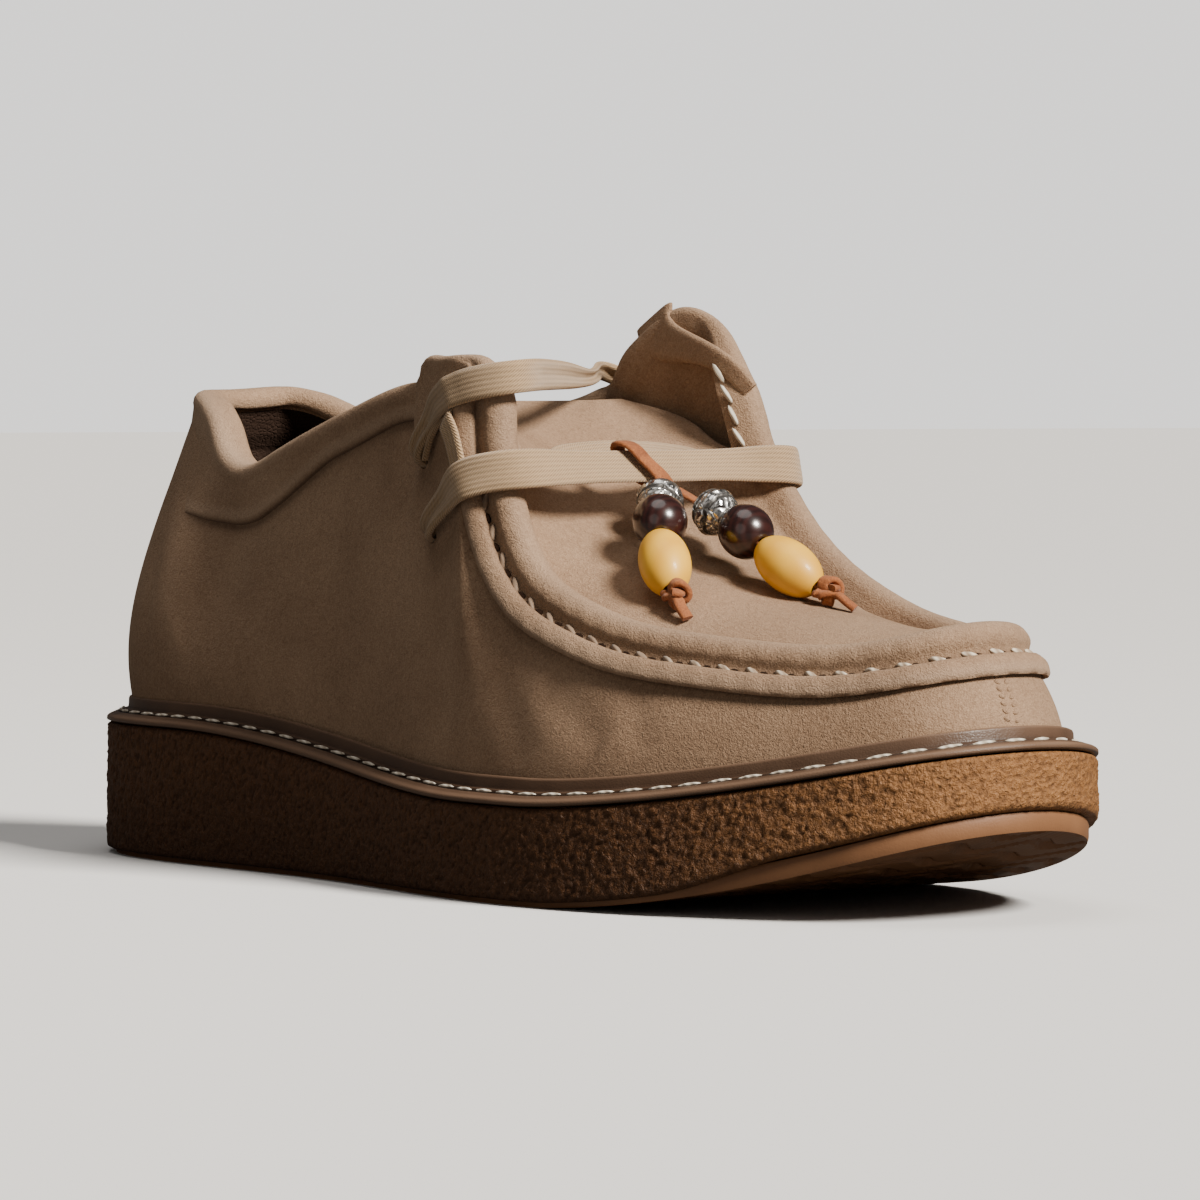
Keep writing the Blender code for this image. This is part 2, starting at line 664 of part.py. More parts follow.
def make_upper(material):
    """One hollow solid: side wall, collar, ears, seam roll and apron."""
    columns, first = rib_columns(COLUMN_SPACING, SEAM_COLUMNS)
    outer, inner = upper_skins(columns, WALL_ROWS)
    count = len(columns)
    base = outer.shape[0] * count
    outer_rows = [list(range(i * count, (i + 1) * count)) for i in range(len(outer))]
    inner_rows = [list(range(base + i * count, base + (i + 1) * count)) for i in range(len(inner))]
    faces = bridge(inner_rows[-1], outer_rows[0])
    for rows in (outer_rows, inner_rows):
        for low, high in zip(rows, rows[1:]):
            faces += bridge(low, high)
    toe = first + SEAM_COLUMNS
    last = toe + SEAM_COLUMNS
    left = [first + j for j in range(SEAM_COLUMNS)]
    right = [last - j for j in range(SEAM_COLUMNS)]
    vertices = [outer.reshape(-1, 3), inner.reshape(-1, 3)]
    start = base + inner.shape[0] * count
    throats = []
    for skin, rows, edge, drop in ((outer, outer_rows, -1, 0.0), (inner, inner_rows, 0, WALL)):
        rungs = apron_grid(skin[edge][left], skin[edge][right], APRON_POINTS, drop)
        if drop:
            rungs[0, 1:-1] = throat_edge[1:-1] - THROAT_FACE
        else:
            throat_edge = rungs[0]
        ends = ([rows[edge][i] for i in left], [rows[edge][i] for i in right])
        points, patch, throat = apron_faces(rungs, *ends, rows[edge][toe], start)
        vertices.append(points)
        faces += patch
        throats.append(throat)
        start += len(points)
    faces += bridge(*throats, closed=False)
    for i in range(last, first + count):
        low, high = i % count, (i + 1) % count
        faces.append((outer_rows[-1][low], outer_rows[-1][high], inner_rows[0][high], inner_rows[0][low]))
    return new_object("upper", np.vstack(vertices), faces, material, 50.0), throat_edge


def make_tongue(material, throat):
    """Flap that carries on from the throat of the apron, up under the laces."""
    table = np.array(TONGUE)
    rows = spline(np.arange(len(table)), table, np.linspace(0.0, len(table) - 1.0, TONGUE_ROWS - 1))
    q = np.linspace(0.0, 1.0, TONGUE_POINTS)
    across = np.abs(2.0 * q - 1.0)
    inset = TONGUE_PLAY / np.linalg.norm(throat[-1] - throat[0])
    seam = spline(np.linspace(0.0, 1.0, len(throat)), throat, inset + (1.0 - 2.0 * inset) * q)
    top = [seam - np.outer(1.6 * GAP + EDGE_ROUND * across ** 4, (1.0, 0.0, 0.0))]
    for edge_x, middle_x, lateral, medial, rise in rows:
        x = edge_x + (middle_x - edge_x) * (1.0 - across ** 2)
        y = lateral + (medial - lateral) * q
        z = crest(middle_x)[0] + rise * across ** CROWN_POWER
        top.append(np.column_stack((x, y, z)))
    top = np.array(top)
    normal = grid_normals(top, closed=False)
    normal *= np.sign(normal[:, :, 2:3])
    rings = []
    for i in range(TONGUE_ROWS):
        edge = EDGE_ROUND if 0 < i < TONGUE_ROWS - 1 else 0.0
        under = top[i] - normal[i] * TONGUE_THICKNESS
        sides = [top[i][-1] - normal[i][-1] * TONGUE_THICKNESS / 2.0 + (0.0, edge, 0.0)]
        other = [top[i][0] - normal[i][0] * TONGUE_THICKNESS / 2.0 - (0.0, edge, 0.0)]
        rings.append(np.vstack((top[i], sides, under[::-1], other)))
    count = len(rings[0])
    loops = [list(range(i * count, (i + 1) * count)) for i in range(len(rings))]
    faces = []
    for back, front in zip(loops, loops[1:]):
        faces += bridge(back, front)
    for loop in (loops[0], loops[-1]):
        half = TONGUE_POINTS
        faces.append((loop[half - 1], loop[half], loop[half + 1]))
        faces.append((loop[0], loop[-1], loop[-2]))
        for k in range(half - 1):
            faces.append((loop[k], loop[k + 1], loop[2 * half - 1 - k], loop[2 * half - k]))
    return new_object("tongue", np.vstack(rings), faces, material, 50.0)


def ribbon(name, path, widths, wide, thickness, material, closed=False):
    """Flat band along a path, its width turned to the given directions."""
    if closed:
        along = np.roll(path, -1, axis=0) - np.roll(path, 1, axis=0)
    else:
        along = np.gradient(path, axis=0)
    along /= np.linalg.norm(along, axis=1)[:, None]
    wide = wide - along * (wide * along).sum(axis=1)[:, None]
    wide /= np.linalg.norm(wide, axis=1)[:, None]
    face = np.cross(wide, along)
    half = thickness / 2.0
    rings = []
    for i, width in enumerate(widths):
        edge = width / 2.0
        corner = edge - half
        section = ((0.0, half), (corner, half), (edge, 0.0), (corner, -half))
        section += tuple((-across, -out) for across, out in section)
        rings.append(np.array([path[i] + wide[i] * across + face[i] * out for across, out in section]))
    return stacked_rings(name, rings, material, ring_shaped=closed, smooth_angle=50.0)


def make_lace(name, table, material):
    """One lace from the lateral eyelet, over both rolls, to the medial eyelet."""
    table = np.array(table)
    steps = np.linalg.norm(np.diff(table[:, :3], axis=0), axis=1)
    run = np.concatenate(([0.0], np.cumsum(steps)))
    rows = spline(run, table, np.linspace(0.0, run[-1], round(run[-1] / LACE_STEP) + 1))
    lean = np.radians(rows[:, 4])
    wide = np.column_stack((-np.sin(lean), np.zeros(len(rows)), np.cos(lean)))
    return ribbon(name, rows[:, :3], rows[:, 3], wide, LACE_THICKNESS, material)


def make_thong_loop(material):
    """Strap of the thong closed round the lower lace, crossing its front on the slant."""
    x, y, z, width, lean = next(row for row in LACE_LOWER if row[1] == 0.0)
    lean = math.radians(lean)
    along_width = np.array((-math.sin(lean), 0.0, math.cos(lean)))
    outward = np.array((math.cos(lean), 0.0, math.sin(lean)))
    knots = np.array([(x, 0.0, z) + along_width * up + outward * out + (0.0, side, 0.0)
                      for up, out, side in THONG_LOOP])
    points = np.vstack((knots[-3:], knots, knots[:4]))
    run = np.concatenate(([0.0], np.cumsum(np.linalg.norm(np.diff(points, axis=0), axis=1))))
    path = spline(run, points, np.linspace(run[3], run[3 + len(knots)], 24, endpoint=False))
    wide = np.tile((0.0, 1.0, 0.0), (len(path), 1))
    ribbon("thong_loop", path, np.full(len(path), THONG_WIDTH), wide, THONG_THICKNESS, material, True)


def turned(name, middle, axis, profile, material, holed):
    """Solid turned about an axis: profile rows give the distance along it and the radius."""
    side = np.cross(axis, (0.0, 0.0, 1.0))
    side /= np.linalg.norm(side)
    other = np.cross(axis, side)
    turn = np.arange(BEAD_SIDES) * 2.0 * math.pi / BEAD_SIDES
    circle = np.outer(np.cos(turn), side) + np.outer(np.sin(turn), other)
    rings = [middle + axis * along + circle * radius for along, radius in profile]
    return stacked_rings(name, rings, material, ring_shaped=holed, smooth_angle=60.0)


def bead_profile(half_length, radius, points):
    """Oval bead section from one mouth of its hole to the other, then back through the hole."""
    mouth = math.acos((BEAD_HOLE + 0.4) / radius)
    profile = []
    for i in range(points):
        angle = mouth * (2.0 * i / (points - 1) - 1.0)
        profile.append((half_length * math.sin(angle), radius * math.cos(angle)))
    return profile + [(profile[-1][0], BEAD_HOLE), (profile[0][0], BEAD_HOLE)]


def knot_profile():
    """Round knot with a cut tail."""
    profile = [(-KNOT_RADIUS, 0.6)]
    for angle in (-50.0, -20.0, 15.0, 45.0):
        turn = math.radians(angle)
        profile.append((KNOT_RADIUS * math.sin(turn), KNOT_RADIUS * math.cos(turn)))
    return profile + [(KNOT_RADIUS + 0.6, 1.0), (KNOT_RADIUS + KNOT_TAIL, 0.9)]


def make_strand(side, knots, thong, silver, dark, yellow):
    """One strand of the thong as a cord, with its three beads and its knot."""
    knots = np.array(knots)
    run = np.concatenate(([0.0], np.cumsum(np.linalg.norm(np.diff(knots, axis=0), axis=1))))
    end = run[-1] - KNOT_RADIUS - GAP
    count = round(end / STRAND_STEP) + 1
    points = spline(run, knots, np.linspace(0.0, end, count))
    curve = bpy.data.curves.new("strand_" + side, "CURVE")
    curve.dimensions = "3D"
    curve.bevel_depth = STRAND_RADIUS * MM
    curve.bevel_resolution = 2
    curve.use_fill_caps = True
    line = curve.splines.new("POLY")
    line.points.add(count - 1)
    for point, place in zip(line.points, points):
        point.co = (*((place - (SOLE_LENGTH / 2.0, 0.0, 0.0)) * MM), 1.0)
    curve.materials.append(thong)
    item = bpy.data.objects.new("strand_" + side, curve)
    bpy.context.scene.collection.objects.link(item)
    axes = spline(run, knots, run + 0.5) - spline(run, knots, run - 0.5)
    axes /= np.linalg.norm(axes, axis=1)[:, None]
    pieces = (
        ("bead_silver_", bead_profile(SILVER_RADIUS - 0.4, SILVER_RADIUS, 7), silver, True),
        ("bead_dark_", bead_profile(DARK_RADIUS, DARK_RADIUS, 7), dark, True),
        ("bead_yellow_", bead_profile(YELLOW_HALF_LENGTH, YELLOW_RADIUS, 8), yellow, True),
        ("knot_", knot_profile(), thong, False),
    )
    for i, (name, profile, material, holed) in enumerate(pieces):
        turned(name + side, knots[i + 1], axes[i + 1], profile, material, holed)


def cut_eyelets(upper):
    """Eyelet holes, bored square to the side wall by hidden cutters."""
    for i, place in enumerate(EYELETS):
        bpy.ops.mesh.primitive_cylinder_add(vertices=12, radius=EYELET_RADIUS * MM, depth=12.0 * MM)
        cutter = bpy.context.object
        cutter.name = "eyelet_cutter_%d" % (i + 1)
        cutter.location = ((place[0] - SOLE_LENGTH / 2.0) * MM, place[1] * MM, place[2] * MM)
        cutter.rotation_euler = (math.radians(90.0 + EYELET_TILT * (1.0 if place[1] < 0.0 else -1.0)), 0.0, 0.0)
        cutter.hide_render = True
        cutter.display_type = "WIRE"
        cut = upper.modifiers.new("eyelet_%d" % (i + 1), "BOOLEAN")
        cut.object = cutter
        cut.solver = "EXACT"


def main():
    for item in list(bpy.data.objects):
        bpy.data.objects.remove(item, do_unlink=True)
    suede = make_material("suede", (0.40, 0.30, 0.22), 0.95)
    crepe = make_material("crepe_rubber", (0.30, 0.15, 0.06), 0.7)
    tread = make_material("tread_rubber", (0.24, 0.12, 0.05), 0.65)
    brown = make_material("welt_leather", (0.12, 0.07, 0.04), 0.35)
    lining = make_material("lining_leather", (0.16, 0.10, 0.07), 0.8)
    make_outsole(tread)
    make_midsole(crepe)
    make_welt(brown)
    make_insole(lining)
    upper, throat = make_upper(suede)
    cut_eyelets(upper)
    make_tongue(suede, throat)
    cotton = make_material("lace_cotton", (0.52, 0.40, 0.28), 0.9)
    make_lace("lace_lower", LACE_LOWER, cotton)
    make_lace("lace_upper", LACE_UPPER, cotton)
    thong = make_material("thong_leather", (0.30, 0.10, 0.04), 0.6)
    silver = make_material("silver_metal", (0.55, 0.54, 0.52), 0.25, 1.0)
    dark = make_material("dark_wood", (0.05, 0.02, 0.015), 0.2)
    yellow = make_material("yellow_horn", (0.80, 0.55, 0.20), 0.3)
    make_thong_loop(thong)
    for side, knots in STRANDS.items():
        make_strand(side, knots, thong, silver, dark, yellow)


main()
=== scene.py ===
import math

import bmesh
import bpy
import numpy as np
from mathutils import Matrix, Vector
from mathutils.bvhtree import BVHTree


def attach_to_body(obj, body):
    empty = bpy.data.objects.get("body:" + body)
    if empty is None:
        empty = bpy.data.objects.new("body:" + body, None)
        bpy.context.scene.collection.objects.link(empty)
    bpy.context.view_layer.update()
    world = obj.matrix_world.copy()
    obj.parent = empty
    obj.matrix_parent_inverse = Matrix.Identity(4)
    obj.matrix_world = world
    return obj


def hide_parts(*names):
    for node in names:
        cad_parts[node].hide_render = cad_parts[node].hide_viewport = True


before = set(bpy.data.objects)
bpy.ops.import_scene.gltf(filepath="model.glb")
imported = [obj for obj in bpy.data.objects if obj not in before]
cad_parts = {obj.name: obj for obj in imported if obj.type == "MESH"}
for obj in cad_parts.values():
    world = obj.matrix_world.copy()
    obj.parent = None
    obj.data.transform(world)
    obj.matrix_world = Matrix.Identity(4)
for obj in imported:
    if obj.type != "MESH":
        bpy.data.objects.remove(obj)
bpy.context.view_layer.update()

scene = bpy.context.scene
mm = 0.001

# Sizes and tables are in millimetres: x forward from the back of the heel, y across, z from the ground
shoe = {"length": 272.0, "heelTipY": -1.5, "toeTipY": 2.0, "gap": 0.3}

# Camera, lamps and room are in metres and degrees
view = {
    "place": (0.941945, -0.732803, 0.096589),
    "azimuth": 51.876,
    "pitch": 1.93,
    "lens": 178.0,
    "sensor": 36.0,
    "near": 0.05,
    "far": 40.0,
}
lamps = {
    "key": {"kind": "SUN", "place": (1.05, 0.16, 0.84), "power": 7.5, "spread": 16.0,
            "colour": (1.0, 0.94, 0.86)},
    "top": {"kind": "AREA", "place": (0.05, -0.15, 1.20), "power": 4.1, "size": 0.9,
            "colour": (1.0, 0.96, 0.92)},
    "fill": {"kind": "AREA", "place": (0.55, -1.20, 0.45), "power": 1.45, "size": 1.0,
             "colour": (1.0, 0.93, 0.86)},
}
studio = {
    "half": 14.0,
    "floor": (0.93, 0.925, 0.915, 1.0),
    "bounce": (0.10, 0.095, 0.09, 1.0),
    "shader": {"Roughness": 0.9},
    "sky": (0.975, 0.955, 0.93, 1.0),
    "skyPower": 0.07,
    "backPower": 1.42,
    "aim": (0.02, 0.0, 0.05),
}


def addNode(tree, kind, inputs=None, **settings):
    # A socket given as an input is linked, any other value is set
    node = tree.nodes.new(kind)
    for name, value in settings.items():
        setattr(node, name, value)
    for name, value in (inputs or {}).items():
        if isinstance(value, bpy.types.NodeSocket):
            tree.links.new(value, node.inputs[name])
        else:
            node.inputs[name].default_value = value
    return node


def mathNode(tree, operation, first, second=0.0, clamp=False):
    values = {0: first, 1: second}
    return addNode(tree, "ShaderNodeMath", values, operation=operation, use_clamp=clamp).outputs[0]


def vectorNode(tree, operation, inputs):
    return addNode(tree, "ShaderNodeVectorMath", inputs, operation=operation).outputs[0]


def mapRange(tree, value, low, high, start=0.0, end=1.0):
    sockets = {"Value": value, "From Min": low, "From Max": high, "To Min": start, "To Max": end}
    return addNode(tree, "ShaderNodeMapRange", sockets).outputs["Result"]


def mixColour(tree, share, first, second, blend="MIX"):
    colours = {0: share, 6: first, 7: second}
    return addNode(tree, "ShaderNodeMix", colours, data_type="RGBA", blend_type=blend).outputs[2]


def noise(tree, vector, scale, detail, output="Fac", **more):
    inputs = {"Vector": vector, "Scale": scale, "Detail": detail}
    settings = {"noise_dimensions": "4D"} if "W" in more else {}
    return addNode(tree, "ShaderNodeTexNoise", {**more, **inputs}, **settings).outputs[output]


def startMaterial(name, values):
    material = bpy.data.materials.new(name)
    material.use_nodes = True
    tree = material.node_tree
    shader = tree.nodes["Principled BSDF"]
    for label, value in values.items():
        shader.inputs[label].default_value = value
    return material, tree, shader


def link(item):
    scene.collection.objects.link(item)
    return item


def makeCamera():
    data = bpy.data.cameras.new("shoeCamera")
    data.lens = view["lens"]
    data.sensor_width = view["sensor"]
    data.clip_start = view["near"]
    data.clip_end = view["far"]
    item = link(bpy.data.objects.new("shoeCamera", data))
    item.location = view["place"]
    item.rotation_euler = (math.radians(90.0 - view["pitch"]), 0.0, math.radians(view["azimuth"]))
    scene.camera = item


def makeLights():
    for name, lamp in lamps.items():
        data = bpy.data.lights.new(name + "Light", lamp["kind"])
        if lamp["kind"] == "SUN":
            data.angle = math.radians(lamp["spread"])
        else:
            data.shape = "DISK"
            data.size = lamp["size"]
        data.energy = lamp["power"]
        data.color = lamp["colour"]
        item = link(bpy.data.objects.new(name + "Light", data))
        item.location = lamp["place"]
        aim = Vector(studio["aim"]) - item.location
        item.rotation_euler = aim.to_track_quat("-Z", "Y").to_euler()


def makeRoom():
    # The camera sees a paler floor and sky than the shoe does
    half = studio["half"]
    mesh = bpy.data.meshes.new("studioFloor")
    corners = [(-half, -half, 0.0), (half, -half, 0.0), (half, half, 0.0), (-half, half, 0.0)]
    mesh.from_pydata(corners, [], [(0, 1, 2, 3)])
    material, tree, shader = startMaterial("paperFloor", studio["shader"])
    seen = addNode(tree, "ShaderNodeLightPath").outputs["Is Camera Ray"]
    tree.links.new(mixColour(tree, seen, studio["bounce"], studio["floor"]), shader.inputs["Base Color"])
    mesh.materials.append(material)
    link(bpy.data.objects.new("studioFloor", mesh))
    world = bpy.data.worlds.new("studioWorld")
    world.use_nodes = True
    tree = world.node_tree
    sky = tree.nodes["Background"]
    sky.inputs["Color"].default_value = studio["sky"]
    seen = addNode(tree, "ShaderNodeLightPath").outputs["Is Camera Ray"]
    power = mapRange(tree, seen, 0.0, 1.0, studio["skyPower"], studio["backPower"])
    tree.links.new(power, sky.inputs["Strength"])
    scene.world = world


makeCamera()
makeLights()
makeRoom()
print("camera, lights and floor made")


def makeGroup(name, inputs, outputs, kind="ShaderNodeTree"):
    tree = bpy.data.node_groups.new(name, kind)
    for label, socketType, value in inputs:
        socket = tree.interface.new_socket(label, in_out="INPUT", socket_type="NodeSocket" + socketType)
        if value is not None:
            socket.default_value = value
    for label, socketType in outputs:
        tree.interface.new_socket(label, in_out="OUTPUT", socket_type="NodeSocket" + socketType)
    return tree, tree.nodes.new("NodeGroupInput").outputs, tree.nodes.new("NodeGroupOutput").inputs


# Where each field of the nap starts and ends, and its share of the colour or of the height
napShares = {
    "colour": {"patch": (0.32, 0.68, 0.34), "brush": (0.36, 0.64, 0.30), "fibre": (0.38, 0.62, 0.36)},
    "height": {"fibre": (0.3, 0.7, 0.45), "brush": (0.3, 0.7, 0.55)},
}


def makeNapGroup():
    tree, given, made = makeGroup(
        "napField",
        (("Vector", "Vector", None), ("Fibre Scale", "Float", 2200.0), ("Brush Scale", "Float", 260.0),
         ("Patch Scale", "Float", 34.0), ("Dark", "Color", None), ("Light", "Color", None)),
        (("Color", "Color"), ("Height", "Float")),
    )
    fields = {
        "fibre": noise(tree, given["Vector"], given["Fibre Scale"], 3.0, Roughness=0.6),
        "brush": noise(tree, given["Vector"], given["Brush Scale"], 4.0, Roughness=0.65, Distortion=0.8),
        "patch": noise(tree, given["Vector"], given["Patch Scale"], 3.0, Distortion=0.6),
    }
    sums = {}
    for use, shares in napShares.items():
        parts = [mapRange(tree, fields[name], low, high, 0.0, share)
                 for name, (low, high, share) in shares.items()]
        total = parts[0]
        for part in parts[1:]:
            total = mathNode(tree, "ADD", total, part, clamp=use == "colour" and part is parts[-1])
        sums[use] = total
    tree.links.new(mixColour(tree, sums["colour"], given["Dark"], given["Light"]), made["Color"])
    tree.links.new(sums["height"], made["Height"])
    return tree


def makeGrainGroup():
    # Leather grain: cells pushed about by noise, their edges as pits, and a slow cloud
    tree, given, made = makeGroup(
        "grainField",
        (("Vector", "Vector", None), ("Grain Scale", "Float", 900.0), ("Warp", "Float", 0.3)),
        (("Height", "Float"), ("Pits", "Float"), ("Cloud", "Float")),
    )
    scale = given["Grain Scale"]
    warp = noise(tree, given["Vector"], mathNode(tree, "MULTIPLY", scale, 0.7), 2.0, "Color")
    scaled = vectorNode(tree, "SCALE", {0: given["Vector"], "Scale": scale})
    pushed = vectorNode(tree, "SCALE", {0: warp, "Scale": given["Warp"]})
    place = vectorNode(tree, "ADD", {0: scaled, 1: pushed})
    cell = addNode(tree, "ShaderNodeTexVoronoi", {"Vector": place, "Scale": 1.0}, feature="DISTANCE_TO_EDGE")
    far = cell.outputs["Distance"]
    tree.links.new(mapRange(tree, far, 0.0, 0.25), made["Height"])
    tree.links.new(mapRange(tree, far, 0.12, 0.0), made["Pits"])
    tree.links.new(noise(tree, given["Vector"], mathNode(tree, "MULTIPLY", scale, 0.06), 3.0), made["Cloud"])
    return tree


def makeWeaveGroup():
    # Ribs along the lace with slanted yarns that mirror on each rib
    tree, given, made = makeGroup(
        "ribWeave",
        (("UV", "Vector", None), ("Rib Pitch", "Float", 1.25), ("Yarn Pitch", "Float", 0.8),
         ("Slant", "Float", 0.5)),
        (("Height", "Float"), ("Shade", "Float")),
    )
    split = addNode(tree, "ShaderNodeSeparateXYZ", {0: given["UV"]})
    across = mathNode(tree, "DIVIDE", split.outputs["X"], given["Rib Pitch"])
    fold = mathNode(tree, "PINGPONG", across, 0.5)
    rib = mapRange(tree, fold, 0.0, 0.5)
    side = mathNode(tree, "GREATER_THAN", mathNode(tree, "FRACT", across), 0.5)
    side = mathNode(tree, "SUBTRACT", side, 0.5)
    lean = mathNode(tree, "MULTIPLY", mathNode(tree, "MULTIPLY", side, fold), given["Slant"])
    lean = mathNode(tree, "MULTIPLY", lean, 4.0)
    along = mathNode(tree, "ADD", mathNode(tree, "DIVIDE", split.outputs["Y"], given["Yarn Pitch"]), lean)
    yarn = mathNode(tree, "SINE", mathNode(tree, "MULTIPLY", along, 2.0 * math.pi))
    yarn = mapRange(tree, yarn, -1.0, 1.0)
    rib = mathNode(tree, "MULTIPLY", rib, 0.40)
    height = mathNode(tree, "ADD", rib, mathNode(tree, "MULTIPLY", yarn, 0.60))
    tree.links.new(height, made["Height"])
    tree.links.new(mathNode(tree, "POWER", height, 0.7), made["Shade"])
    return tree


napGroup = makeNapGroup()
grainGroup = makeGrainGroup()
weaveGroup = makeWeaveGroup()


def placeGroup(tree, group, inputs):
    return addNode(tree, "ShaderNodeGroup", inputs, node_tree=group).outputs


def spot(tree, kind="Object"):
    return addNode(tree, "ShaderNodeTexCoord").outputs[kind]


def opaque(colour):
    return (*colour, 1.0)


def layNap(tree, size, dark="dark"):
    return placeGroup(tree, napGroup, {
        "Vector": spot(tree), "Fibre Scale": size["fibre"], "Brush Scale": size["brush"],
        "Patch Scale": size["patch"], "Dark": opaque(size[dark]), "Light": opaque(size["light"])})


def layGrain(tree, size):
    inputs = {"Vector": spot(tree), "Grain Scale": size["grain"], "Warp": size["warp"]}
    return placeGroup(tree, grainGroup, inputs)


def shadeBetween(tree, share, size):
    return mixColour(tree, share, opaque(size["dark"]), opaque(size["light"]))


def readMark(tree, name):
    return addNode(tree, "ShaderNodeAttribute", attribute_name=name).outputs["Fac"]


def overMarks(tree, colour, size):
    # Lays paler nap where the mesh is marked as rubbed, and painted shade where it is marked as a hollow
    for name in ("rub", "hollowShadeAndTarnish"):
        if name in size:
            colour = mixColour(tree, readMark(tree, name), colour, opaque(size[name]))
    return colour


def setSurface(tree, shader, colour, height=None, distance=0.0, roughness=None):
    tree.links.new(colour, shader.inputs["Base Color"])
    if roughness is not None:
        tree.links.new(roughness, shader.inputs["Roughness"])
    if height is not None:
        bump = addNode(tree, "ShaderNodeBump", {"Height": height, "Distance": distance, "Strength": 1.0})
        tree.links.new(bump.outputs["Normal"], shader.inputs["Normal"])


suedeFinish = {
    "dark": (0.200, 0.119, 0.070),
    "light": (0.435, 0.288, 0.184),
    # Painted shade in the seam's groove, under its lip, round the eyelets, along the foot and under the
    # collar band
    "hollowShadeAndTarnish": (0.060, 0.034, 0.022),
    "rub": (0.500, 0.365, 0.262),
    "fibre": 3000.0,
    "brush": 1050.0,
    "patch": 34.0,
    "bump": 0.00026,
    "shader": {"Roughness": 0.95, "Sheen Weight": 0.14, "Sheen Roughness": 0.4,
               "Sheen Tint": (0.95, 0.78, 0.62, 1.0), "Specular IOR Level": 0.12},
}
thongFinish = {
    "dark": (0.150, 0.042, 0.014),
    "light": (0.390, 0.135, 0.042),
    "fibre": 2600.0,
    "brush": 700.0,
    "patch": 160.0,
    "bump": 0.00012,
    "shader": {"Roughness": 0.72, "Sheen Weight": 0.15, "Sheen Roughness": 0.5, "Specular IOR Level": 0.25},
}


def makeNapped(name, size):
    material, tree, shader = startMaterial(name, size["shader"])
    nap = layNap(tree, size)
    setSurface(tree, shader, overMarks(tree, nap["Color"], size), nap["Height"], size["bump"])
    return material


# Smooth leathers and rubber: where given, the cloud also moves the roughness between two values
# The lining's brown is darkened further as painted shade inside the shoe
liningFinish = {
    "dark": (0.018, 0.010, 0.007),
    "light": (0.050, 0.029, 0.020),
    "grain": 1100.0,
    "warp": 0.3,
    "bump": 0.00012,
    "shader": {"Roughness": 0.8, "Specular IOR Level": 0.1},
}
treadFinish = {
    "dark": (0.140, 0.062, 0.026),
    "light": (0.300, 0.142, 0.064),
    "grain": 1300.0,
    "warp": 0.6,
    "bump": 0.00001,
    "rough": (0.42, 0.62),
    "shader": {"Roughness": 0.5, "Specular IOR Level": 0.4},
}
weltFinish = {
    "dark": (0.046, 0.024, 0.014),
    "light": (0.125, 0.072, 0.044),
    "rub": (0.215, 0.132, 0.084),
    # Painted shade in the stitch channel, at the lip and where the upper sits
    "hollowShadeAndTarnish": (0.0161, 0.0084, 0.0049),
    "grain": 1700.0,
    "warp": 0.3,
    "bump": 0.00002,
    "rough": (0.34, 0.52),
    "shader": {"Roughness": 0.4, "Specular IOR Level": 0.32},
}


def makeGrained(name, size):
    material, tree, shader = startMaterial(name, size["shader"])
    grain = layGrain(tree, size)
    colour = shadeBetween(tree, grain["Cloud"], size)
    colour = overMarks(tree, colour, size)
    roughness = mapRange(tree, grain["Cloud"], 0.3, 0.7, *size["rough"]) if "rough" in size else None
    setSurface(tree, shader, colour, grain["Height"], size["bump"], roughness)
    return material


crepeFinish = {
    "dark": (0.120, 0.052, 0.016),
    "light": (0.400, 0.190, 0.066),
    "tan": (0.240, 0.100, 0.030),
    "fibre": 1500.0,
    "brush": 800.0,
    "patch": 22.0,
    "bump": 0.00050,
    # Painted shade: a tone multiplied in towards the heel, and darkening up to a height above the ground
    "heelShade": (0.36, 0.32, 0.31),
    "heelShadeFrom": (0.078, 0.15),
    "floorShadeTo": (0.003, 0.022),
    "rough": (0.85, 0.5),
    "shader": {"Roughness": 0.62, "Specular IOR Level": 0.35},
}


def makeCrepe(name, size):
    # Amber on the raised crumbs, with painted shade in the hollows between them, near the ground and towards
    # the heel
    material, tree, shader = startMaterial(name, size["shader"])
    nap = layNap(tree, size, "tan")
    raised = mapRange(tree, readMark(tree, "grain"), 0.0, 0.50)
    # Painted shade in the hollows between the crumbs
    colour = mixColour(tree, raised, opaque(size["dark"]), nap["Color"])
    split = addNode(tree, "ShaderNodeSeparateXYZ", {0: spot(tree)})
    # Painted shade near the ground
    outOfFloorShade = mapRange(tree, split.outputs["Z"], *size["floorShadeTo"], 0.60, 1.0)
    colour = mixColour(tree, outOfFloorShade, opaque(size["dark"]), colour)
    # Painted shade towards the heel
    heelShade = mapRange(tree, split.outputs["X"], *size["heelShadeFrom"], 1.0, 0.0)
    colour = mixColour(tree, heelShade, colour, opaque(size["heelShade"]), blend="MULTIPLY")
    roughness = mapRange(tree, raised, 0.0, 1.0, *size["rough"])
    setSurface(tree, shader, colour, nap["Height"], size["bump"], roughness)
    return material


laceFinish = {
    "dark": (0.270, 0.170, 0.092),
    "light": (0.590, 0.412, 0.242),
    "rib": 1.0,
    "yarn": 0.7,
    "slant": 1.0,
    "bump": 0.00022,
    "fuzz": {"dark": (0.82, 0.80, 0.78), "light": (1.0, 1.0, 1.0), "fibre": 3200.0, "brush": 900.0,
             "patch": 60.0},
    "shader": {"Roughness": 0.85, "Sheen Weight": 0.25, "Sheen Roughness": 0.5, "Specular IOR Level": 0.2},
}


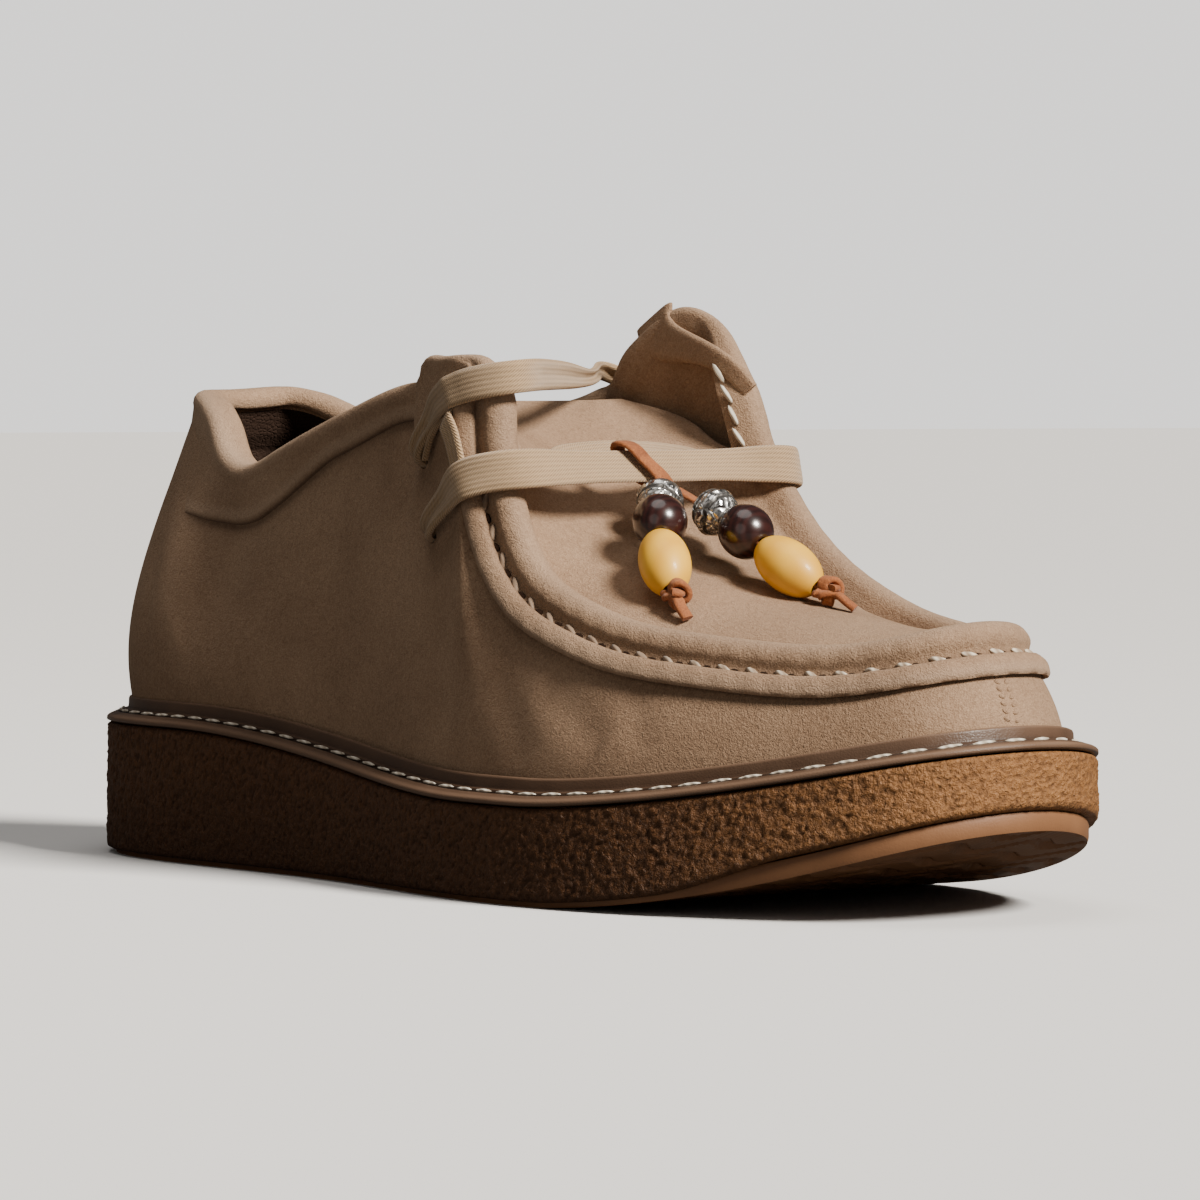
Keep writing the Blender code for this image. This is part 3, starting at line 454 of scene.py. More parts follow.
def makeLaceCotton(name, size):
    material, tree, shader = startMaterial(name, size["shader"])
    weave = placeGroup(tree, weaveGroup, {"UV": spot(tree, "UV"), "Rib Pitch": size["rib"],
                                          "Yarn Pitch": size["yarn"], "Slant": size["slant"]})
    fuzz = layNap(tree, size["fuzz"])
    colour = mixColour(tree, 1.0, shadeBetween(tree, weave["Shade"], size), fuzz["Color"], "MULTIPLY")
    setSurface(tree, shader, colour, weave["Height"], size["bump"])
    return material


threadFinish = {
    "dark": (0.400, 0.340, 0.260),
    "light": (0.740, 0.680, 0.570),
    "ply": 1500.0,
    "turn": 6.3,
    "bump": 0.00012,
    "shader": {"Roughness": 0.6, "Sheen Weight": 0.2, "Specular IOR Level": 0.3},
}
# Waxed thread with painted shade along the outer side of the shoe: how much y counts beside x, and the
# sum, in metres, over which the painted shade ends
waxedFinish = {**threadFinish, "dark": (0.330, 0.240, 0.160), "light": (0.740, 0.640, 0.500),
               "sideShade": (0.230, 0.155, 0.100), "shadeLean": 2.2, "shadeRange": (-0.02, 0.06)}


def makeThread(name, size):
    material, tree, shader = startMaterial(name, size["shader"])
    turns = {"Vector": spot(tree), "Scale": size["ply"] / size["turn"], "Distortion": 2.0, "Detail": 2.0}
    ply = addNode(tree, "ShaderNodeTexWave", turns, bands_direction="DIAGONAL").outputs["Fac"]
    colour = shadeBetween(tree, ply, size)
    if "sideShade" in size:
        # Painted shade on the thread along the outer side of the shoe
        split = addNode(tree, "ShaderNodeSeparateXYZ", {0: spot(tree)})
        side = mathNode(tree, "MULTIPLY", split.outputs["Y"], size["shadeLean"])
        side = mathNode(tree, "ADD", side, split.outputs["X"])
        colour = mixColour(tree, mapRange(tree, side, *size["shadeRange"]), opaque(size["sideShade"]), colour)
    setSurface(tree, shader, colour, ply, size["bump"])
    return material


# Near-black painted shade of the needle holes, which are laid as blobs on the seam and not cut
holeShadeFinish = {
    "dark": (0.012, 0.006, 0.004),
    "light": (0.030, 0.016, 0.010),
    "fleck": 900.0,
    "shader": {"Roughness": 0.95, "Specular IOR Level": 0.05},
}


def makeHoleShade(name, size):
    material, tree, shader = startMaterial(name, size["shader"])
    setSurface(tree, shader, shadeBetween(tree, noise(tree, spot(tree), size["fleck"], 2.0), size))
    return material


silverFinish = {
    "bright": (0.72, 0.71, 0.69),
    "tarnish": (0.10, 0.095, 0.09),
    "grain": 430.0,
    "warp": 0.9,
    "pits": 0.75,
    "bump": 0.00025,
    "rough": (0.2, 0.6),
    "shader": {"Metallic": 1.0, "Roughness": 0.25},
}


def makeSilver(name, size):
    # Cast silver with tarnish in its grooves and pits
    material, tree, shader = startMaterial(name, size["shader"])
    grain = layGrain(tree, size)
    pits = mathNode(tree, "MULTIPLY", grain["Pits"], size["pits"])
    worn = mathNode(tree, "ADD", readMark(tree, "hollowShadeAndTarnish"), pits, clamp=True)
    colour = mixColour(tree, worn, opaque(size["bright"]), opaque(size["tarnish"]))
    roughness = mapRange(tree, worn, 0.0, 1.0, *size["rough"])
    setSurface(tree, shader, colour, grain["Height"], size["bump"], roughness)
    return material


darkWoodFinish = {
    "dark": (0.006, 0.002, 0.002),
    "light": (0.040, 0.011, 0.009),
    "ring": 240.0,
    "shader": {"Roughness": 0.28, "Coat Weight": 0.7, "Coat Roughness": 0.12, "Specular IOR Level": 0.5},
}
hornFinish = {
    "dark": (0.740, 0.370, 0.024),
    "light": (0.880, 0.500, 0.045),
    "ring": 60.0,
    "shader": {"Roughness": 0.5, "Coat Weight": 0.12, "Coat Roughness": 0.12, "Specular IOR Level": 0.5},
}
beadBump = 0.00003


def makeBeadFinish(name, size):
    material, tree, shader = startMaterial(name, size["shader"])
    streaks = {"Vector": spot(tree), "Scale": size["ring"], "Distortion": 3.0, "Detail": 3.0,
               "Detail Scale": 1.5}
    ring = addNode(tree, "ShaderNodeTexWave", streaks).outputs["Fac"]
    cloud = noise(tree, spot(tree), size["ring"] * 2.5, 4.0)
    share = [mathNode(tree, "MULTIPLY", field, 0.5) for field in (ring, cloud)]
    colour = shadeBetween(tree, mathNode(tree, "ADD", *share, clamp=True), size)
    setSurface(tree, shader, colour, cloud, beadBump)
    return material


finish = {
    "suede": makeNapped("tanSuede", suedeFinish),
    "lining": makeGrained("brownLining", liningFinish),
    "crepe": makeCrepe("amberCrepe", crepeFinish),
    "tread": makeGrained("amberTread", treadFinish),
    "welt": makeGrained("brownWelt", weltFinish),
    "lace": makeLaceCotton("beigeLace", laceFinish),
    "thread": makeThread("creamThread", threadFinish),
    "waxed": makeThread("waxedThread", waxedFinish),
    "hole": makeHoleShade("needleHoleShade", holeShadeFinish),
    "thong": makeNapped("rustThong", thongFinish),
    "silver": makeSilver("oldSilver", silverFinish),
    "dark": makeBeadFinish("darkBeadWood", darkWoodFinish),
    "yellow": makeBeadFinish("honeyHorn", hornFinish),
}
print("finishes made:", len(finish))


def spline(knots, values, places):
    # Natural cubic through the values at the knots
    k = np.asarray(knots, float)
    v = np.asarray(values, float).reshape(len(k), -1)
    at = np.atleast_1d(np.asarray(places, float))
    h = np.diff(k)[:, None]
    matrix = np.eye(len(k))
    bend = np.zeros_like(v)
    for i in range(1, len(k) - 1):
        matrix[i, i - 1:i + 2] = h[i - 1, 0], 2.0 * (h[i - 1, 0] + h[i, 0]), h[i, 0]
        bend[i] = 6.0 * ((v[i + 1] - v[i]) / h[i] - (v[i] - v[i - 1]) / h[i - 1])
    bend = np.linalg.solve(matrix, bend)
    i = np.clip(np.searchsorted(k, at, side="right") - 1, 0, len(k) - 2)
    t = at[:, None] - k[i][:, None]
    slope = (v[i + 1] - v[i]) / h[i] - h[i] * (2.0 * bend[i] + bend[i + 1]) / 6.0
    return v[i] + t * slope + t ** 2 * bend[i] / 2.0 + t ** 3 * (bend[i + 1] - bend[i]) / (6.0 * h[i])


def runLength(points):
    return np.concatenate(([0.0], np.cumsum(np.linalg.norm(np.diff(points, axis=0), axis=1))))


def smoothPath(table, step, closed=False):
    # Rows of a table resampled about a step apart along their first three columns
    rows = np.array(table, float)
    if closed:
        ringed = np.vstack((rows[-3:], rows, rows[:4]))
        run = runLength(ringed[:, :3])
        count = round((run[3 + len(rows)] - run[3]) / step)
        return spline(run, ringed, np.linspace(run[3], run[3 + len(rows)], count, endpoint=False))
    run = runLength(rows[:, :3])
    return spline(run, rows, np.linspace(0.0, run[-1], round(run[-1] / step) + 1))


def ease(value):
    t = np.clip(value, 0.0, 1.0)
    return t * t * (3.0 - 2.0 * t)


def bump(value, width):
    return np.exp(-(np.asarray(value) / width) ** 2)


def unit(vectors):
    return vectors / np.linalg.norm(vectors, axis=-1, keepdims=True)


def squared(vectors, along):
    # Unit vectors at right angles to the unit directions along
    return unit(vectors - along * (vectors * along).sum(axis=-1, keepdims=True))


def inMetres(points):
    return (np.asarray(points, float) - (shoe["length"] / 2.0, 0.0, 0.0)) * mm


def meshPiece(name, points, faces, materials, angle=40.0, uv=None, faceMaterial=None, marks=None):
    mesh = bpy.data.meshes.new(name)
    mesh.from_pydata(inMetres(points).tolist(), [], [tuple(face) for face in faces])
    for material in materials:
        mesh.materials.append(material)
    if faceMaterial is not None:
        mesh.polygons.foreach_set("material_index", np.asarray(faceMaterial, np.int32))
    if uv is not None:
        corner = np.zeros(len(mesh.loops), np.int32)
        mesh.loops.foreach_get("vertex_index", corner)
        places = np.asarray(uv, np.float32)[corner].ravel()
        mesh.uv_layers.new(name="clothMap").data.foreach_set("uv", places)
    for label, values in (marks or {}).items():
        values = np.clip(np.asarray(values, np.float32), 0.0, 1.0)
        mesh.attributes.new(label, "FLOAT", "POINT").data.foreach_set("value", values)
    bm = bmesh.new()
    bm.from_mesh(mesh)
    bmesh.ops.recalc_face_normals(bm, faces=bm.faces)
    bm.to_mesh(mesh)
    bm.free()
    mesh.shade_smooth()
    mesh.set_sharp_from_angle(angle=math.radians(angle))
    return link(bpy.data.objects.new(name, mesh))


def attach(piece, slotName, *nodes):
    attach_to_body(piece, "root")
    if nodes:
        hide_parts(*nodes)
    return piece


def bake(piece, modifier):
    # Keeps what a modifier makes as the piece's plain mesh
    graph = bpy.context.evaluated_depsgraph_get()
    made = bpy.data.meshes.new_from_object(piece.evaluated_get(graph))
    piece.modifiers.remove(modifier)
    old = piece.data
    piece.data = made
    made.name = piece.name
    bpy.data.meshes.remove(old)


def applyRule(piece, tree, inputs):
    rule = piece.modifiers.new("rule", "NODES")
    rule.node_group = tree
    for socket in tree.interface.items_tree:
        if socket.in_out == "INPUT" and socket.name in inputs:
            rule[socket.identifier] = inputs[socket.name]
    bake(piece, rule)


def rowNumbers(start, shape):
    return np.arange(start, start + shape[0] * shape[1]).reshape(shape[:2])


def bridge(first, second, closed=True):
    count = len(first)
    last = count if closed else count - 1
    return [(first[i], first[(i + 1) % count], second[(i + 1) % count], second[i]) for i in range(last)]


def ladder(ring):
    # Faces that close a ring by rungs from each lateral point to its medial partner
    count = len(ring)
    half = count // 2
    faces = [(ring[0], ring[1], ring[-1]), (ring[half - 1], ring[half], ring[half + 1])]
    for i in range(1, half - 1):
        faces.append((ring[i], ring[i + 1], ring[count - i - 1], ring[count - i]))
    return faces


def stackRings(rings, caps=True, looped=False):
    count = len(rings[0])
    rows = [list(range(i * count, (i + 1) * count)) for i in range(len(rings))]
    faces = []
    for low, high in zip(rows, rows[1:]):
        faces += bridge(low, high)
    if looped:
        faces += bridge(rows[-1], rows[0])
    elif caps:
        faces += ladder(rows[0]) + ladder(rows[-1])
    return np.vstack(rings), faces


# The map across a strap starts this far from zero
mapShift = 50.0


def bandPiece(name, path, widths, wide, thickness, material, closed=False, across=19, ribs=None, folds=0.0):
    # Flat strap with rounded edges; ribs gives the count and height of raised lines along it
    if closed:
        along = unit(np.roll(path, -1, axis=0) - np.roll(path, 1, axis=0))
    else:
        along = unit(np.gradient(path, axis=0))
    wide = squared(wide, along)
    face = np.cross(wide, along)
    t = np.sin(np.linspace(-0.5, 0.5, across) * math.pi)
    swell = np.sqrt(np.clip(1.0 - np.abs(t) ** 6.0, 0.0, 1.0))
    run = runLength(path)
    full = max(widths)
    rings = []
    uv = []
    for i, width in enumerate(widths):
        out = swell * thickness / 2.0
        if ribs:
            out = out + swell * ribs[1] * np.cos(t * math.pi * ribs[0])
        curl = folds * (1.0 - width / full) * np.cos(t * math.pi * 1.5)
        edge = t * width / 2.0
        top = path[i] + wide[i] * edge[:, None] + face[i] * (out + curl)[:, None]
        under = path[i] + wide[i] * edge[1:-1, None] + face[i] * (curl - out)[1:-1, None]
        rings.append(np.vstack((top, under[::-1])))
        u = t * full / 2.0 + mapShift
        uv.append(np.column_stack((np.concatenate((u, u[1:-1][::-1])), np.full(2 * across - 2, run[i]))))
    points, faces = stackRings(rings, caps=False, looped=closed)
    if not closed:
        count = len(rings[0])
        faces += [tuple(range(count)), tuple(range(len(points) - count, len(points)))]
    return meshPiece(name, points, faces, [material], 50.0, uv=np.vstack(uv))


# The beaded thong: two free strands, their beads and their knots
thongSizes = {
    "strandWidth": 2.4,
    "strandThickness": 1.0,
    "loopWidth": 3.3,
    "loopThickness": 1.1,
    "step": 0.7,
}
# Half length and radius of each bead, rings along it, depth of its dents
beadSizes = {
    "Silver": {"half": 4.5, "radius": 4.8, "rings": 45, "dents": 0.13, "slot": "silver_metal"},
    "Dark": {"half": 5.75, "radius": 5.4, "rings": 31, "dents": 0.0, "slot": "dark_wood"},
    "Yellow": {"half": 8.0, "radius": 5.1, "rings": 35, "dents": 0.0, "slot": "yellow_horn"},
}
boreSizes = {"hole": 1.5, "mouth": 0.35, "round": 0.05, "depth": 0.6}
dentWaves = {"wide": 10.0, "fine": 24.0, "fineShare": 0.6, "dark": 0.1}
# Overhand knot; the tail's rows run along the strand, up and across
knotSizes = {
    "radius": 2.7,
    "opening": 0.35,
    "points": 46,
    "swell": (0.60, 0.28),
    "rise": 1.25,
    "tail": ((2.2, 0.4, 0.6), (3.6, 0.3, 0.6), (5.0, -0.1, 0.2), (6.6, -0.5, -0.3)),
    "step": 0.35,
    "lean": 0.35,
    "spin": (0.72, 0.18),
    "width": 2.4,
    "thickness": 1.25,
}
# Where each strand leaves the loop, then the middles of its silver, dark and yellow bead and its knot
strandTables = {
    "lateral": ((168.0, -2.1, 78.4), (169.9, -5.2, 76.6), (177.0, -10.9, 73.0), (185.2, -16.3, 65.2),
                (191.7, -18.6, 59.4)),
    "medial": ((168.3, 0.4, 78.9), (178.0, 2.2, 74.6), (187.6, 2.0, 71.0), (198.3, 3.9, 64.4),
               (206.6, 6.9, 59.8)),
}


def beadProfile(bead):
    # Places along the axis and radii, from one mouth to the other and back through the bore
    radius, dents = bead["radius"], bead["dents"]
    hole, corner, deep = boreSizes["hole"], boreSizes["round"], boreSizes["depth"]
    mouth = math.acos((hole + boreSizes["mouth"]) / radius)
    profile = []
    for angle in np.linspace(-mouth, mouth, bead["rings"]):
        fine = dentWaves["fineShare"] * math.cos(angle * dentWaves["fine"])
        ridge = dents * (math.cos(angle * dentWaves["wide"]) + fine) * math.cos(angle)
        profile.append((bead["half"] * math.sin(angle), (radius + ridge - dents) * math.cos(angle)))
    lip = profile[-1][0]
    return profile + [(lip + corner, hole + corner), (lip - deep, hole), (deep - lip, hole),
                      (-lip - corner, hole + corner)]


def makeBead(name, middle, axis, kind, sides=56):
    bead = beadSizes[kind]
    side = unit(np.cross(axis, (0.0, 0.0, 1.0)))
    other = np.cross(axis, side)
    turn = np.arange(sides) * 2.0 * math.pi / sides
    circle = np.outer(np.cos(turn), side) + np.outer(np.sin(turn), other)
    rings = [middle + axis * along + circle * radius for along, radius in beadProfile(bead)]
    points, faces = stackRings(rings, looped=True)
    marks = None
    if bead["dents"]:
        # Dark in the dents and in the bore
        spots = np.linspace(-1.0, 1.0, bead["rings"])
        dent = np.array([math.cos(angle * dentWaves["wide"]) for angle in spots])
        dark = np.concatenate((ease(-dent - dentWaves["dark"]), np.ones(4)))
        marks = {"hollowShadeAndTarnish": np.repeat(dark, sides)}
    return meshPiece(name, points, faces, [finish[kind.lower()]], 60.0, marks=marks)


def makeKnot(name, middle, axis):
    size = knotSizes
    across = unit(np.cross(axis, (0.0, 0.0, 1.0)))
    up = np.cross(across, axis)
    turn = np.linspace(size["opening"], 2.0 * math.pi - size["opening"], size["points"])
    radius = size["radius"] * (size["swell"][0] + size["swell"][1] * np.cos(3.0 * turn))
    loops = (middle + np.outer(radius * np.cos(2.0 * turn), across)
             + np.outer(radius * np.sin(2.0 * turn), up) + np.outer(size["rise"] * np.sin(3.0 * turn), axis))
    tail = [middle + axis * reach + up * drop + across * sway for reach, drop, sway in size["tail"]]
    path = smoothPath(np.vstack((loops, tail)), size["step"])
    wide = np.tile(axis, (len(path), 1)) + up * size["lean"]
    spin = ease((runLength(path) / runLength(path)[-1] - size["spin"][0]) / size["spin"][1])[:, None]
    wide = wide * (1.0 - spin) + across * spin
    return bandPiece(name, path, np.full(len(path), size["width"]), wide, size["thickness"], finish["thong"],
                     across=9)


def makeStrand(side):
    size = thongSizes
    knots = np.array(strandTables[side])
    run = runLength(knots)
    end = run[-1] - knotSizes["radius"] * 0.5
    path = spline(run, knots, np.linspace(0.0, end, round(end / size["step"]) + 1))
    axes = unit(spline(run, knots, run + 0.5) - spline(run, knots, run - 0.5))
    along = unit(np.gradient(path, axis=0))
    wide = squared(np.tile((0.0, 1.0, 0.0), (len(path), 1)), along)
    strand = bandPiece(side + "Strand", path, np.full(len(path), size["strandWidth"]), wide,
                       size["strandThickness"], finish["thong"], across=9)
    attach(strand, "thong_leather", "strand_" + side)
    for place, (kind, bead) in enumerate(beadSizes.items(), 1):
        piece = makeBead(side + kind + "Bead", knots[place], axes[place], kind)
        attach(piece, bead["slot"], "bead_" + kind.lower() + "_" + side)
    knot = makeKnot(side + "Knot", knots[-1], axes[-1])
    attach(knot, "thong_leather", "knot_" + side)
    path = inMetres(path)


for side in strandTables:
    makeStrand(side)
print("strands, beads and knots made")


# Sole: x of the outline, y on the lateral and on the medial side
outline = (
    (4.0, -21.5, 19.0),
    (15.0, -32.8, 29.8),
    (36.0, -39.2, 35.0),
    (74.0, -40.4, 35.0),
    (110.0, -42.0, 37.5),
    (145.0, -47.6, 43.5),
    (176.0, -49.6, 49.0),
    (204.0, -45.5, 49.0),
    (228.0, -38.0, 44.5),
    (249.0, -29.5, 36.0),
    (264.0, -19.5, 24.0),
)
soleSizes = {
    "rimHeel": 30.8,
    "rimBall": 21.8,
    "rimToe": 35.2,
    "rimPower": 1.6,
    "toeSpring": 18.0,
    "springPower": 1.8,
    "springStart": 0.66,
    "wedge": (0.18, 0.60),
    "tread": 3.6,
    "treadInset": 1.8,
    "lugDepth": 1.4,
    "lugPitch": 10.0,
    "welt": 2.6,
    "ledge": 4.6,
    "lipHeight": 2.6,
    "lip": 1.1,
    "outlinePoints": 900,
    "reach": 0.004,
}


def makeOutline():
    # Dense closed outline: parameter 0..1 along the lateral side, 1..2 back along the medial
    lateral = [(x, left) for x, left, right in outline]
    medial = [(x, right) for x, left, right in reversed(outline)]
    loop = [(0.0, shoe["heelTipY"])] + lateral + [(shoe["length"], shoe["toeTipY"])] + medial
    points = np.array(loop[-3:] + loop + loop[:4], float)
    knots = runLength(points)
    start, toe, end = knots[3], knots[3 + len(lateral) + 1], knots[3 + len(loop)]
    halves = []
    for low, high in ((start, toe), (toe, end)):
        half = spline(knots, points, np.linspace(low, high, soleSizes["outlinePoints"]))
        run = runLength(half)
        halves.append((run / run[-1], half))
    return halves


outlineHalves = makeOutline()


def outlinePoint(s):
    # Plan points and outward normals of the sole's edge at parameters s
    s = np.mod(np.atleast_1d(np.asarray(s, float)), 2.0)

    def position(p):
        p = np.mod(p, 2.0)
        side = (p >= 1.0).astype(int)
        xy = np.empty((len(p), 2))
        for half in (0, 1):
            run, points = outlineHalves[half]
            chosen = side == half
            for axis in (0, 1):
                xy[chosen, axis] = np.interp(p[chosen] - half, run, points[:, axis])
        return xy

    reach = soleSizes["reach"]
    along = unit(position(s + reach) - position(s - reach))
    return position(s), np.column_stack((along[:, 1], -along[:, 0]))


def outlineParameter(x, medial):
    run, points = outlineHalves[1 if medial else 0]
    if medial:
        return 1.0 + float(np.interp(-x, -points[:, 0], run))
    return float(np.interp(x, points[:, 0], run))


def pastSpring(x):
    # Share of the way from the start of the toe spring to the toe
    start = soleSizes["springStart"] * shoe["length"]
    return np.clip((x - start) / (shoe["length"] - start), 0.0, 1.0)


def spring(x):
    return soleSizes["toeSpring"] * pastSpring(x) ** soleSizes["springPower"]


def rim(x):
    # Height of the welt's top
    start, end = soleSizes["wedge"]
    wedge = ease((x / shoe["length"] - start) / (end - start))
    lift = pastSpring(x) ** soleSizes["rimPower"]
    heel, ball, toe = soleSizes["rimHeel"], soleSizes["rimBall"], soleSizes["rimToe"]
    return heel + (ball - heel) * wedge + (toe - ball) * lift


def seat(x):
    return rim(x) - soleSizes["welt"]


def soleRing(count, inset, height):
    xy, normal = outlinePoint(np.arange(count) * 2.0 / count)
    xy = xy - normal * inset
    return np.column_stack((xy, height(xy[:, 0])))


crepeSizes = {
    "columns": 1180,
    "rows": 36,
    "grain": 1.7,
    "crumb": 1.0,
    "depth": 0.66,
    "seed": 4.0,
    "skirt": 1.0,
    "skirtEnd": (212.0, 30.0),
    "skirtInset": 0.35,
    "corner": 1.0,
    "shrink": 0.3,
    "topDrop": 0.8,
    "top": ((0.6, 0.25), (1.1, 0.0), (8.0, 0.0)),
    "warp": 0.0030,
}


def makeCrepeRule():
    # Raised crumbs of crepe rubber, pushed out along the normals
    tree, given, made = makeGroup(
        "crepeGrain",
        (("Wall", "Geometry", None), ("Grain Size", "Float", 0.002), ("Crumb Size", "Float", 0.001),
         ("Depth", "Float", 0.001), ("Seed", "Float", 0.0)),
        (("Grained Wall", "Geometry"),),
        "GeometryNodeTree",
    )
    place = addNode(tree, "GeometryNodeInputPosition").outputs[0]
    grainScale = mathNode(tree, "DIVIDE", 1.0, given["Grain Size"])
    crumbScale = mathNode(tree, "DIVIDE", 1.0, given["Crumb Size"])
    warp = noise(tree, place, mathNode(tree, "MULTIPLY", grainScale, 0.6), 2.0, "Color")
    pushed = vectorNode(tree, "SCALE", {0: warp, "Scale": crepeSizes["warp"]})
    moved = vectorNode(tree, "ADD", {0: place, 1: pushed})
    wide, fine = [noise(tree, moved, scale, 1.0, W=given["Seed"]) for scale in (grainScale, crumbScale)]
    worm = mathNode(tree, "ABSOLUTE", mathNode(tree, "SUBTRACT", wide, 0.5))
    worm = mathNode(tree, "MULTIPLY", worm, 5.0, clamp=True)
    crumb = mapRange(tree, fine, 0.32, 0.68)
    worm = mathNode(tree, "MULTIPLY", worm, 0.42)
    height = mathNode(tree, "ADD", worm, mathNode(tree, "MULTIPLY", crumb, 0.58))
    share = addNode(tree, "GeometryNodeInputNamedAttribute", {"Name": "rough"}, data_type="FLOAT").outputs[0]
    lift = mathNode(tree, "SUBTRACT", height, 0.45)
    push = mathNode(tree, "MULTIPLY", mathNode(tree, "MULTIPLY", lift, given["Depth"]), share)
    normal = addNode(tree, "GeometryNodeInputNormal").outputs[0]
    offset = vectorNode(tree, "SCALE", {0: normal, "Scale": push})
    values = {"Geometry": given["Wall"], "Name": "grain", "Value": height}
    stored = addNode(tree, "GeometryNodeStoreNamedAttribute", values, data_type="FLOAT", domain="POINT")
    result = addNode(tree, "GeometryNodeSetPosition", {"Geometry": stored.outputs[0], "Offset": offset})
    tree.links.new(result.outputs[0], made["Grained Wall"])
    return tree


def makeMidsole():
    size = crepeSizes
    columns, corner = size["columns"], size["corner"]
    # Towards the heel the crumbly wall hides the side of the tread
    skirt = soleSizes["tread"] + shoe["gap"] - size["skirt"]

    def base(x):
        return spring(x) + soleSizes["tread"] + shoe["gap"]

    def low(x):
        return base(x) - skirt * (1.0 - ease((x - size["skirtEnd"][0]) / size["skirtEnd"][1]))

    def high(x):
        return seat(x) - shoe["gap"]

    rings = [soleRing(columns, soleSizes["treadInset"], base),
             soleRing(columns, soleSizes["treadInset"] - size["skirtInset"], low)]
    rough = [0.0, 0.0]
    for angle in (60.0, 30.0, 0.0):
        turn = math.radians(angle)
        rise = corner * (1.0 - math.sin(turn))
        rings.append(soleRing(columns, corner * (1.0 - math.cos(turn)), lambda x: low(x) + rise))
        rough.append(0.35 + 0.2 * (60.0 - angle) / 30.0)
    for share in np.linspace(0.0, 1.0, size["rows"])[1:]:
        rings.append(soleRing(columns, size["shrink"] * share, lambda x: low(x) + corner
                              + (high(x) - low(x) - corner - size["topDrop"]) * share))
        rough.append(1.0)
    for inset, drop in size["top"]:
        rings.append(soleRing(columns, inset, lambda x: high(x) - drop))
        rough.append(0.3 if drop else 0.0)
    points, faces = stackRings(rings)
    marks = {"rough": np.repeat(rough, columns)}
    piece = meshPiece("crepeMidsole", points, faces, [finish["crepe"]], 60.0, marks=marks)
    applyRule(piece, makeCrepeRule(), {"Grain Size": size["grain"] * mm, "Crumb Size": size["crumb"] * mm,
                                       "Depth": size["depth"] * mm, "Seed": size["seed"]})
    attach(piece, "crepe_rubber", "midsole")


treadSizes = {
    "rungs": 520,
    "across": 64,
    "wave": 3.2,
    "waveLength": 21.0,
    "bevel": 0.55,
    "groove": 0.30,
    "rib": 0.22,
    "ribPitch": 1.9,
    "border": 2.6,
    "inset": 0.25,
    "side": ((0.25, 0.22), (0.25, 0.80), (0.0, 1.0)),
}


def treadDepth(x, y, inward):
    # Depth cut into the tread: wavy cross grooves, with fine ribs on the bars between them
    size = treadSizes
    phase = (x + size["wave"] * np.cos(2.0 * math.pi * y / size["waveLength"])) / soleSizes["lugPitch"]
    spot = np.mod(phase, 1.0)
    side = np.minimum(spot, np.maximum(1.0 - size["groove"] - spot, 0.0)) * soleSizes["lugPitch"]
    side = np.where(spot > 1.0 - size["groove"], 0.0, side)
    groove = 1.0 - ease(side / size["bevel"])
    rib = size["rib"] * (0.5 + 0.5 * np.cos(2.0 * math.pi * y / size["ribPitch"])) * (1.0 - groove)
    return (soleSizes["lugDepth"] * groove + rib) * ease(inward / size["border"])


def rimOf(numbers):
    # Numbers round the edge of a grid
    return (list(numbers[:, 0]) + list(numbers[-1, 1:]) + list(numbers[:-1, -1][::-1])
            + list(numbers[0, 1:-1][::-1]))


def makeOutsole():
    size = treadSizes
    rungs, count = size["rungs"], size["across"]
    s = (np.arange(rungs) + 0.5) / rungs
    lateral, lateralNormal = outlinePoint(s)
    medial, medialNormal = outlinePoint(2.0 - s)
    inset = soleSizes["treadInset"] + size["inset"]
    lateral = lateral - lateralNormal * inset
    medial = medial - medialNormal * inset
    q = np.linspace(0.0, 1.0, count)
    flat = lateral[:, None, :] + (medial - lateral)[:, None, :] * q[None, :, None]
    width = np.linalg.norm(medial - lateral, axis=1)[:, None] * np.minimum(q, 1.0 - q)[None, :]
    ends = np.minimum(flat[:, :, 0], shoe["length"] - flat[:, :, 0]) - inset
    under = spring(flat[:, :, 0]) + treadDepth(flat[:, :, 0], flat[:, :, 1], np.minimum(width, ends))
    points = np.concatenate((flat, under[:, :, None]), axis=2).reshape(-1, 3)
    number = rowNumbers(0, (rungs, count))
    faces = []
    for near, ahead in zip(number, number[1:]):
        faces += bridge(list(near), list(ahead), closed=False)
    loop = rimOf(number)
    edge = points[loop]
    plan = edge[:, :2]
    away = np.roll(plan, -1, axis=0) - np.roll(plan, 1, axis=0)
    away = unit(np.column_stack((away[:, 1], -away[:, 0])) + 1e-9)
    top = spring(plan[:, 0]) + soleSizes["tread"]
    rings = [points]
    rows = [loop]
    for out, share in size["side"]:
        rings.append(np.column_stack((plan + away * out, edge[:, 2] + (top - edge[:, 2]) * share)))
        start = len(points) + (len(rows) - 1) * len(loop)
        rows.append(list(range(start, start + len(loop))))
    for low, high in zip(rows, rows[1:]):
        faces += bridge(low, high)
    cap = rows[-1]
    left = cap[:rungs]
    right = cap[rungs + count - 2:2 * rungs + count - 2][::-1]
    faces += bridge(left, right, closed=False)
    faces.append(tuple(cap[rungs - 1:rungs + count - 1]))
    faces.append(tuple(cap[2 * rungs + count - 3:] + [cap[0]]))
    piece = meshPiece("treadOutsole", np.vstack(rings), faces, [finish["tread"]], 35.0)
    attach(piece, "tread_rubber", "outsole")


weltSizes = {"columns": 620, "channel": 3.0, "channelHalf": 0.7, "channelDepth": 0.35, "rubShare": 0.8}


